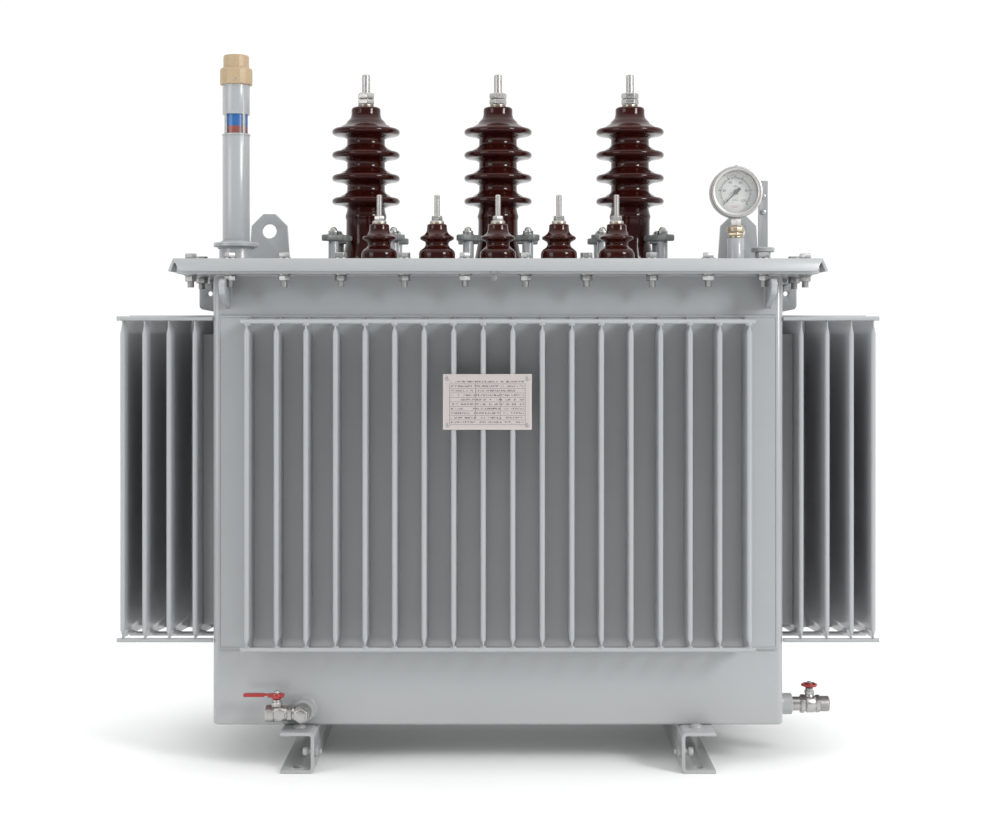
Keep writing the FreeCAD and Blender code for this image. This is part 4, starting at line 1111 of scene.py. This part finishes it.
class TRANSFORMER_OT_lv_bushings(Builder):
    """Short glazed porcelains with their studs"""
    bl_idname = "transformer.lv_bushings"
    bl_label = "Low-voltage bushings"

    places = (-0.210, -0.108, 0.0, 0.108, 0.210)

    def build(self):
        where = Box("lv_bushings")
        studs = Box("lv_terminals")
        y = where.middle.y
        spots = [(x, y, where.low.z) for x in self.places]
        item = repeated(smooth(lathe(lv_profile(), segments=48), 60), spots)
        put(item, "lv_porcelain_set", "porcelain", "lv_bushings")
        seal = lathe([(0.0118, 0), (0.0125, 0.0005), (0.0125, 0.002)], segments=28)
        metal = [lathe([(0.0128, 0.002), (0.0122, 0.005), (0.0100, 0.0065)], segments=28),
                 nut(0.0098, 0.0065, 0.0145),
                 lathe(threaded(0.005, 0.0145, studs.size.z, 0.0015, 0.0005), segments=20)]
        stud = joined([finished(crisp(metal, 0.0003), "tin"), finished(seal, "brass")])
        spots = [(x, y, studs.low.z) for x in self.places]
        item = repeated(stud, spots, (5, 22, 50, 33, 14))
        put(item, "lv_terminal_set", "tinned_metal", "lv_terminals")


class TRANSFORMER_OT_filler(Builder):
    """Filler neck, weld rings, window ring and faceted cap"""
    bl_idname = "transformer.filler"
    bl_label = "Filler pipe"

    def build(self):
        neck, cap = Box("filler_neck"), Box("filler_cap")
        x, y = neck.middle.x, neck.middle.y
        body = lathe([(0.0325, 0), (0.0312, 0.0015), (0.030, 0.004), (0.030, 0.0258),
                      (0.0385, 0.0262), (0.040, 0.0275), (0.040, 0.0325), (0.0388, 0.034),
                      (0.0262, 0.034)], neck.foot, 56)
        put(smooth(body, 35), "filler_neck_body", "paint", "filler_neck")
        beads = [ring_bead(0.0252, 0.005, (x, y, neck.high.z + 0.0006)),
                 ring_bead(0.0303, 0.005, (x, y, neck.low.z + 0.0254))]
        put(joined(beads), "filler_weld_rings", "paint", finish="dull_paint")
        window_low = Box("filler_pipe").low.z + 0.194
        band = lathe([(0.02425, -0.004), (0.0252, -0.0035), (0.0252, -0.0012), (0.02425, -0.0008)],
                     (x, y, window_low), 56)
        put(smooth(band), "window_ring", "paint")
        foot = (x, y, cap.low.z)
        skirt = lathe([(0.0262, 0.0), (0.0282, 0.0), (0.029, 0.0012), (0.029, 0.026),
                       (0.0280, 0.0285), (0.0262, 0.029)], foot, 16)
        knob = lathe([(0.0262, 0.0285), (0.0262, 0.0295), (0.0232, 0.031), (0.0230, 0.0335),
                      (0.0230, 0.0495), (0.0222, 0.052), (0.0200, 0.053)], foot, 16)
        item = smooth(rounded(joined([skirt, knob]), 0.0007, 2, 15), 14)
        put(item, "filler_cap_moulding", "tan_plastic", "filler_cap")
        screw = lathe([(0.0016, 0), (0.0022, 0.0005), (0.0022, 0.0015), (0.0012, 0.002)],
                      segments=16)
        aim(screw, FRONT, (x + 0.001, cap.low.y + 0.0005, cap.low.z + 0.008))
        put(smooth(screw), "filler_cap_screw", "tinned_metal", finish="zinc")


class TRANSFORMER_OT_thermometer(Builder):
    """Thermometer with its stub, union, case, dial marks and pointer"""
    bl_idname = "transformer.thermometer"
    bl_label = "Thermometer"

    def case(self, middle, depth):
        """Case and bezel, open in front of the dial."""
        profile = [(0.036, -depth), (0.0445, -depth), (0.046, -depth + 0.002),
                   (0.046, -0.009), (0.0452, -0.0085), (0.0452, -0.0075), (0.0465, -0.007),
                   (0.0465, -0.0035), (0.0455, -0.0008), (0.0435, 0.0), (0.0405, -0.0006),
                   (0.0380, -0.0026), (0.0374, -0.005), (0.0374, -0.0075), (0.0425, -0.0078),
                   (0.0425, -depth + 0.003)]
        return smooth(aim(lathe(profile, segments=72), FRONT, middle), 35)

    def mark(self, reach, long, wide, angle, middle):
        """Flat mark on the dial, from a reach outwards, turned to an angle."""
        item = slab((reach, -0.0001, -wide), (reach + long, 0.0001, wide), 0.00005, 1)
        item.rotation_euler = (0, -math.radians(angle), 0)
        item.location = middle
        return apply_place(item)

    def number(self, words, size, place):
        """Raised figures made into a mesh."""
        deselect()
        bpy.ops.object.text_add()
        text = bpy.context.object
        text.data.body = words
        text.data.size = size
        text.data.extrude = 0.00008
        text.data.align_x = "CENTER"
        text.data.align_y = "CENTER"
        pick(text)
        bpy.ops.object.convert(target="MESH")
        text = bpy.context.object
        text.rotation_euler = (math.pi / 2, 0, 0)
        text.location = place
        return apply_place(text)

    def marks(self, middle):
        """Scale ring, ticks and plain numbers on the dial, with a few red marks."""
        black, red = [], []
        first, sweep = 225, 270
        ticks, dashes, numbers = 50, 90, 5
        for index in range(ticks + 1):
            long, wide = (0.0052, 0.0008) if index % 10 == 0 else (0.0030, 0.0004)
            group = red if index % 5 == 0 and index % 10 else black
            group.append(self.mark(0.0262, long, wide, first - index * sweep / ticks, middle))
        for index in range(dashes):
            angle = first - (index + 0.5) * sweep / dashes
            black.append(self.mark(0.0256, 0.0005, 0.0007, angle, middle))
        spots = arc((middle.x, middle.z), 0.0205, first, first - sweep, numbers)
        for index, (x, z) in enumerate(spots):
            black.append(self.number(str(index * 20), 0.0068, (x, middle.y, z)))
        for group, angle, reach, wide in ((black, 90, 0.0290, 0.0018), (black, 90, 0.0105, 0.0050),
                                          (black, 90, 0.0128, 0.0022), (black, 270, 0.0128, 0.0050),
                                          (red, 270, 0.0235, 0.0080), (red, 270, 0.0262, 0.0050)):
            group.append(self.mark(reach, 0.0008, wide, angle, middle))
        return joined([finished(joined(black), "ink"), finished(joined(red), "red_ink")])

    def union(self, x, y):
        """Brass union with its steel neck."""
        fitting = Box("gauge_fitting")
        foot = (x, y, fitting.low.z)
        parts = [lathe([(0.0110, 0), (0.0118, 0.001), (0.0118, 0.0042)], foot, 32),
                 nut(0.0150, 0.004, 0.0105, foot),
                 lathe([(0.0135, 0.010), (0.0155, 0.0115), (0.016, 0.013), (0.016, 0.0185),
                        (0.0148, 0.0205), (0.0110, 0.0222)], foot, 10)]
        brass = finished(smooth(rounded(joined(parts), 0.0006, 2, 25), 30), "brass")
        neck = finished(crisp([nut(0.0102, 0.022, fitting.size.z, foot)], 0.0004), "steel")
        put(joined([brass, neck]), "thermometer_union", "union_brass", "gauge_fitting")

    def pointer(self):
        """Pointer with a balanced tail and a domed hub."""
        x, _, z = hinge("pointer_swing")
        hand = slab((-0.0017, -0.0005, 0), (0.0017, 0.0005, 0.029), 0.0003)
        resized(hand, lambda co: co.z > 0.028, (0.25, 1, 1))
        tail = slab((-0.0029, -0.0005, -0.0115), (0.0029, 0.0005, -0.002), 0.0009, 3)
        hub = lathe([(0.0045, -0.0006), (0.0045, 0.0003), (0.0038, 0.0006)], segments=28)
        item = joined([hand, tail, aim(hub, FRONT, (0, 0, 0))])
        item.rotation_euler = (0, math.radians(225), 0)
        item.location = (x, Box("gauge_pointer").middle.y, z)
        put(smooth(apply_place(item), 30), "thermometer_pointer", "pointer_black", "gauge_pointer",
            body="pointer")

    def build(self):
        stub, case = Box("gauge_stub"), Box("gauge_case")
        x, y = stub.middle.x, stub.middle.y
        body = lathe([(0.0178, 0), (0.0168, 0.0015), (0.0152, 0.004), (0.015, 0.007),
                      (0.015, 0.0415), (0.0138, 0.043)], stub.foot, 40)
        put(smooth(body, 40), "thermometer_stub", "paint", "gauge_stub")
        self.union(x, y)
        put(self.case((x, case.low.y, case.middle.z), case.size.y), "thermometer_case",
            "gauge_steel", "gauge_case")
        plug = lathe([(0.0035, 0), (0.0035, 0.0012), (0.0028, 0.0022)],
                     (x, case.middle.y - 0.006, case.high.z - 0.0010), 20)
        put(smooth(plug), "thermometer_vent_plug", "gasket_rubber")
        face = Vector((x, Box("gauge_dial").high.y - 0.0021, case.middle.z))
        put(self.marks(face), "dial_marks", "pointer_black")
        self.pointer()


class TRANSFORMER_OT_pocket(Builder):
    """Pocket beside the thermometer, and the screws of its bar"""
    bl_idname = "transformer.pocket"
    bl_label = "Pocket"

    def build(self):
        body = lathe([(0.0168, 0), (0.0150, 0.002), (0.014, 0.005), (0.014, 0.0198),
                      (0.0198, 0.0202), (0.021, 0.0215), (0.021, 0.0275), (0.0195, 0.029)],
                     Box("pocket").foot, 40)
        put(smooth(body, 35), "pocket_body", "paint", "pocket")
        bar = Box("pocket_bar")
        screws = [aim(nut(0.0048, 0, 0.003), FRONT, (bar.middle.x, bar.low.y, bar.low.z + height))
                  for height in (0.064, 0.093)]
        put(crisp(screws, 0.0003), "pocket_bar_screws", "tinned_metal", finish="zinc")


class TRANSFORMER_OT_nameplate(Builder):
    """Ruled nameplate with its screws"""
    bl_idname = "transformer.nameplate"
    bl_label = "Nameplate"

    screw_height = 0.0011
    rows = 10

    def sheet(self, low, high):
        """Plate with a raised border."""
        item = slab(low, high, 0.0006)
        select_vertices(item, lambda co: co.y < low.y + 0.0001)
        bpy.ops.mesh.select_mode(type="FACE")
        bpy.ops.mesh.inset(thickness=0.0022)
        bpy.ops.mesh.inset(thickness=0.0004)
        bpy.ops.transform.translate(value=(0, 0.0003, 0))
        bpy.ops.object.mode_set(mode="OBJECT")
        return finished(smooth(item, 30), "plate")

    def rules(self, low, high):
        """Thin ruled lines, across and upright."""
        inset, thick, width = 0.009, 0.00022, 0.00004
        front = low.y + 0.00018
        left, right = low.x + inset + 0.002, high.x - inset - 0.002
        row = (high.z - low.z - 2 * inset) / self.rows
        heights = [low.z + inset + row * index for index in range(self.rows)]
        lines = [slab((left, front, z - thick), (right, high.y, z + thick), width, 1)
                 for z in heights]
        for x, first, last in ((left, 0, 9), (right, 0, 9), (left + 0.044, 1, 9),
                               (left + 0.086, 1, 7)):
            lines.append(slab((x - thick, front, heights[first]),
                              (x + thick, high.y, heights[last]), width, 1))
        return finished(joined(lines), "ink")

    def screws(self, low, high):
        """Round heads at the corners."""
        inset = 0.0078
        heads = []
        for x in (low.x + inset, high.x - inset):
            for z in (low.z + inset, high.z - inset):
                head = lathe([(0.0036, -0.0004), (0.0036, 0.0001), (0.0031, 0.0007),
                              (0.0018, self.screw_height)], segments=20)
                heads.append(aim(head, FRONT, (x, low.y, z)))
        return finished(smooth(joined(heads)), "zinc")

    def build(self):
        where = Box("nameplate")
        low, high = where.low.copy(), where.high
        low.y += self.screw_height + 0.0001
        item = joined([self.sheet(low, high), self.rules(low, high), self.screws(low, high)])
        put(item, "nameplate_sheet", "plate_metal", "nameplate")


class TRANSFORMER_OT_drain_valve(Builder):
    """Drain tee, ball valve and red lever"""
    bl_idname = "transformer.drain_valve"
    bl_label = "Drain valve"

    def build(self):
        tee, valve = Box("drain_tee"), Box("drain_valve_body")
        x, y, z = tee.high.x - 0.019, TANK.low.y - 0.035, tee.middle.z
        boss = aim(lathe([(0.0230, 0), (0.0215, 0.003), (0.0195, 0.0055), (0.019, 0.008),
                          (0.019, 0.020), (0.0175, 0.022)], segments=40), FRONT,
                   (x, TANK.low.y, z))
        put(smooth(boss, 35), "drain_boss", "paint", "drain_tee")
        parts = [aim(lathe([(0.0135, 0), (0.0148, 0.0015), (0.0148, 0.0215), (0.0138, 0.0240)],
                           segments=36), FRONT, (x, y + 0.013, z)),
                 aim(lathe([(0.0105, 0), (0.0105, 0.0115), (0.0132, 0.0120), (0.0132, 0.016)],
                           segments=32), LEFT, (x, y, z)),
                 aim(hexagon(0.0134, 0, 0.009, 0.0007), FRONT, (x, y - 0.011, z)),
                 aim(hexagon(0.0092, 0, 0.006, 0.0005), FRONT, (x, y - 0.020, z))]
        put(smooth(joined(parts), 35), "drain_tee_fitting", "nickel")
        start = (valve.high.x, y, z)
        ends = [aim(hexagon(0.0152, 0, 0.0085, 0.0006), LEFT, start),
                aim(lathe([(0.0120, 0.008), (0.0130, 0.010), (0.0135, 0.015), (0.0135, 0.026),
                           (0.0128, 0.031)], segments=32), LEFT, start),
                aim(hexagon(0.0102, 0, 0.0045, 0.0005), FRONT,
                    (valve.high.x - 0.0205, y - 0.0115, z)),
                aim(self.outlet(), LEFT, start)]
        stem = (hinge("drain_lever_turn")[0], y, z)
        gland = [nut(0.0092, 0.012, 0.020, stem),
                 lathe([(0.0066, 0.019), (0.0066, 0.0235), (0.0058, 0.0242)], stem, 28),
                 lathe(threaded(0.0038, 0.024, 0.039, 0.00125, 0.0004), stem, 20)]
        item = joined(ends + [rounded(joined(gland), 0.0004, 1, 30)])
        put(smooth(item, 30), "drain_valve_casting", "nickel", "drain_valve_body")
        self.lever(stem[0], y)

    def outlet(self):
        """Hexagonal end with its bore."""
        item = nut(0.0152, 0.030, 0.046)
        edit_mode("FACE", "DESELECT")
        bpy.ops.object.mode_set(mode="OBJECT")
        for face in item.data.polygons:
            face.select = face.normal.z > 0.9
        bpy.ops.object.mode_set(mode="EDIT")
        bpy.ops.mesh.inset(thickness=0.0030)
        bpy.ops.mesh.extrude_region_move(TRANSFORM_OT_translate={"value": (0, 0, -0.013)})
        bpy.ops.object.mode_set(mode="OBJECT")
        return rounded(item, 0.0005, 2, 30)

    def lever(self, x, y):
        """Lever with a hub, a blade, a dipped grip and a flat middle over the stem."""
        where = Box("drain_lever")
        tip, top = where.low.x, where.high.z
        parts = [lathe([(0.0082, -0.009), (0.009, -0.008), (0.009, -0.001), (0.0082, 0.0)],
                       (x, y, top), 32)]
        for start, end, half, bottom, upper, width, segments in (
                (tip + 0.0145, x, 0.0045, 0.0040, 0.0008, 0.0012, 3),
                (tip, x - 0.020, 0.0065, 0.0058, 0, 0.0025, 4),
                (x - 0.0150, x + 0.0130, 0.0075, 0.0065, 0.0005, 0.0022, 3)):
            parts.append(slab((start, y - half, top - bottom), (end, y + half, top - upper),
                              width, segments))
        item = finished(smooth(joined(parts), 40), "red")
        cap = finished(crisp([nut(0.0062, 0, 0.0032, (x, y, top))], 0.0003), "zinc")
        put(joined([item, cap]), "drain_lever_arm", "red_handle", "drain_lever", body="drain_lever")


class TRANSFORMER_OT_gate_valve(Builder):
    """Sampling valve with its boss, body and red handwheel"""
    bl_idname = "transformer.gate_valve"
    bl_label = "Sampling valve"

    def build(self):
        boss = Box("gate_valve_boss")
        y, z = boss.middle.y, boss.middle.z
        body = lathe([(0.0212, 0), (0.0190, 0.003), (0.0185, 0.006), (0.0185, 0.0205),
                      (0.0172, 0.022)], segments=40)
        put(smooth(aim(body, RIGHT, (boss.low.x, y, z)), 40), "sampling_boss", "paint",
            "gate_valve_boss")
        ends = [lathe([(0.0118, 0), (0.0122, 0.001), (0.0122, 0.016)], segments=32),
                hexagon(0.0165, 0.0145, 0.0235, 0.0006),
                lathe([(0.0130, 0.023), (0.0155, 0.026), (0.0155, 0.038), (0.0132, 0.042)],
                      segments=36),
                hexagon(0.0158, 0.041, 0.0500, 0.0006), self.outlet()]
        parts = [aim(end, RIGHT, (boss.high.x, y, z)) for end in ends]
        stem = (hinge("handwheel_turn")[0], y, z)
        bonnet = [lathe([(0.0100, 0.008), (0.0088, 0.0135), (0.0074, 0.017)], stem, 28),
                  nut(0.0092, 0.0165, 0.0235, stem),
                  lathe([(0.0068, 0.023), (0.0068, 0.0275), (0.0058, 0.0285)], stem, 28),
                  lathe(threaded(0.003, 0.0285, 0.0395, 0.00125, 0.0004), stem, 18)]
        item = joined(parts + [rounded(joined(bonnet), 0.0004, 1, 30)])
        put(smooth(item, 30), "sampling_valve_casting", "nickel", "gate_valve_body")
        self.wheel(stem[0], y)

    def outlet(self):
        """Threaded outlet with its bore."""
        points = threaded(0.0137, 0.050, 0.066, 0.0018, 0.0006)
        points += [(0.0095, 0.066), (0.0093, 0.0655), (0.0093, 0.052)]
        return lathe(points, segments=40)

    def wheel(self, x, y):
        """Handwheel with a scalloped rim, four spokes and a hub."""
        z = Box("gate_handwheel").middle.z
        middle = (x, y, z)
        rim = wire_ring(0.0119, 0.0026, 48, 12, middle)
        lobes = 8
        resized(rim, lambda co: math.hypot(co.x - x, co.y - y) > 0.0115
                and math.cos(lobes * math.atan2(co.y - y, co.x - x)) < -0.35,
                (0.93, 0.93, 1), middle)
        hub = lathe([(0.0050, -0.003), (0.0056, -0.0024), (0.0056, 0.0024), (0.0050, 0.003)],
                    middle, 28)
        spoke = slab((0.004, -0.0016, -0.0013), (0.0115, 0.0016, 0.0013), 0.0006)
        spokes = repeated(spoke, [middle] * 4, (0, 90, 180, 270))
        item = finished(smooth(joined([rim, hub, spokes]), 45), "red")
        cap = finished(crisp([nut(0.0046, 0.003, 0.0056, middle)], 0.0003), "zinc")
        put(joined([item, cap]), "sampling_handwheel", "red_handle", "gate_handwheel",
            body="handwheel")


class TRANSFORMER_OT_small_parts(Builder):
    """Earth bolts, studs on the feet and the seal under the lid"""
    bl_idname = "transformer.small_parts"
    bl_label = "Small parts"

    def earth_bolts(self):
        """Headed studs through the feet, with their nuts inside."""
        where = Box("earth_bolts")
        y, z = where.middle.y, where.middle.z
        parts = []
        for side in SIDES:
            head = lathe([(0.005, 0), (0.005, 0.005), (0.0066, 0.0054), (0.0075, 0.007),
                          (0.0075, 0.0115), (0.0064, 0.0138), (0.004, 0.015)], segments=28)
            thread = lathe(threaded(0.005, 0.008, 0.0138, 0.0015, 0.0005), segments=20)
            inner = (side * (where.high.x - 0.019), y, z)
            parts += [aim(head, (side, 0, 0), (side * (where.high.x - 0.015), y, z)),
                      aim(nut(0.0092, 0, 0.008), (-side, 0, 0), inner),
                      aim(thread, (-side, 0, 0), inner)]
        put(crisp(parts, 0.0004, 30), "earth_bolt_set", "paint", "earth_bolts", finish="dull_paint")

    def foot_studs(self):
        """Domed weld studs on the feet, in front of the tank and behind it."""
        bumps = []
        for node in FEET:
            foot = Box(node)
            for face in SIDES:
                place = (foot.middle.x, face * (TANK.high.y + 0.016), foot.high.z)
                bumps.append(lathe([(0.011, 0), (0.0105, 0.003), (0.007, 0.0055),
                                    (0.003, 0.0062)], place, 24))
        put(smooth(joined(bumps), 60), "foot_weld_studs", "paint", finish="dull_paint")

    def seal(self):
        """Wire eye with its disc under the lid's front edge."""
        x, y, z = -0.006, LID.low.y + 0.0025, LID.low.z - 0.003
        wire = wire_ring(0.0062, 0.0010, 28, 10, (x, y, z), (math.pi / 2, 0, 0))
        shifted(wire, lambda co: co.z < z, (0, 0, -0.0022))
        disk = lathe([(0.0036, 0), (0.0046, 0.0008), (0.0046, 0.0030), (0.0036, 0.0038)],
                     segments=24)
        aim(disk, FRONT, (x, y + 0.0019, z - 0.0095))
        put(smooth(joined([wire, disk]), 40), "lid_seal", "tinned_metal", finish="casting")

    def build(self):
        self.earth_bolts()
        self.foot_studs()
        self.seal()


class TRANSFORMER_OT_stage(Builder):
    """Pale floor, soft studio light and the camera"""
    bl_idname = "transformer.stage"
    bl_label = "Stage"

    def area(self, name, place, target, size, power):
        """Soft rectangular light aimed at a point."""
        data = bpy.data.lights.new(name, "AREA")
        data.shape = "RECTANGLE"
        data.size, data.size_y = size
        data.energy = power
        lamp = bpy.data.objects.new(name, data)
        bpy.context.scene.collection.objects.link(lamp)
        lamp.location = place
        lamp.visible_camera = False
        aimed = Vector(target) - Vector(place)
        lamp.rotation_euler = aimed.to_track_quat("-Z", "Y").to_euler()

    def floor(self):
        """Wide pale board with rounded edges."""
        item = slab((-12, -6, -0.06), (12, 8, 0), 0.02, 4)
        item.name = "studio_floor"
        item.data.materials.append(clouded_finish(
            "studio_floor", (3.0, 3.0), (0.84, 0.84, 0.84), (0.88, 0.88, 0.88), (0.1, 0.7),
            Emission_Strength=0.04, Emission_Color=(1.0, 1.0, 1.0, 1.0)))
        item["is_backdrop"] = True

    def sky(self, scene):
        """White surroundings, brighter behind and overhead."""
        scene.world = bpy.data.worlds.new("studio")
        sky = Nodes(scene.world, "Background")
        height = sky.axis("Z", "Generated")
        behind = sky.axis("Y", "Generated") + height * 1.3
        overhead = (height - 0.4).clamped() * 1.1
        sky.set("Color", (1.0, 1.0, 1.0, 1))
        sky.set("Strength", ((behind + 0.15) * 2.0).clamped() * 0.72 + overhead + 0.31)

    def camera(self, scene):
        """Camera in front of the transformer."""
        data = bpy.data.cameras.new("camera")
        data.lens = 58.5
        data.sensor_width = 36
        data.shift_x, data.shift_y = 0.002, -0.084
        distance, height = 2.809, 0.75
        camera = bpy.data.objects.new("camera", data)
        camera.location = (0, SHEET_Y - distance, height)
        camera.rotation_euler = (math.pi / 2, 0, 0)
        scene.collection.objects.link(camera)
        scene.camera = camera

    def build(self):
        scene = bpy.context.scene
        scene.view_settings.view_transform = "Standard"
        self.floor()
        self.sky(scene)
        middle = (0, 0, 0.6)
        self.area("key", (3.1, -2.7, 2.3), middle, (1.1, 1.2), 104)
        self.area("fill", (-3.2, -2.6, 1.5), middle, (1.8, 2.0), 42)
        self.camera(scene)


OPERATORS = (TRANSFORMER_OT_finishes, TRANSFORMER_OT_tank, TRANSFORMER_OT_tank_lugs,
             TRANSFORMER_OT_fin_panels, TRANSFORMER_OT_wing_fins, TRANSFORMER_OT_rod_welds,
             TRANSFORMER_OT_weld_beads, TRANSFORMER_OT_lid_bolts, TRANSFORMER_OT_hv_bushings,
             TRANSFORMER_OT_hv_terminals, TRANSFORMER_OT_hv_clamps, TRANSFORMER_OT_lv_bushings,
             TRANSFORMER_OT_filler, TRANSFORMER_OT_thermometer, TRANSFORMER_OT_pocket,
             TRANSFORMER_OT_nameplate, TRANSFORMER_OT_drain_valve, TRANSFORMER_OT_gate_valve,
             TRANSFORMER_OT_small_parts, TRANSFORMER_OT_stage)


class TRANSFORMER_PT_panel(bpy.types.Panel):
    """Buttons and sizes for the transformer"""
    bl_idname = "TRANSFORMER_PT_panel"
    bl_label = "Transformer"
    bl_space_type = "VIEW_3D"
    bl_region_type = "UI"
    bl_category = "Transformer"

    def draw(self, context):
        for operator in OPERATORS:
            self.layout.operator(operator.bl_idname)
        for group in (context.scene.transformer_sizes, context.scene.transformer_colours):
            for name in group.__annotations__:
                self.layout.prop(group, name)


CLASSES = (TransformerColours, TransformerSizes, *OPERATORS, TRANSFORMER_PT_panel)


def register():
    for item in CLASSES:
        bpy.utils.register_class(item)
    bpy.types.Scene.transformer_colours = bpy.props.PointerProperty(type=TransformerColours)
    bpy.types.Scene.transformer_sizes = bpy.props.PointerProperty(type=TransformerSizes)


def unregister():
    del bpy.types.Scene.transformer_sizes
    del bpy.types.Scene.transformer_colours
    for item in reversed(CLASSES):
        bpy.utils.unregister_class(item)


def main():
    register()
    for operator in OPERATORS:
        group, name = operator.bl_idname.split(".")
        getattr(getattr(bpy.ops, group), name)()
    boxes = {"cad": cad_box, "visual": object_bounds()}
    lists = {name: [list(corner) for corner in corners] for name, corners in boxes.items()}


if __name__ == "__main__":
    main()
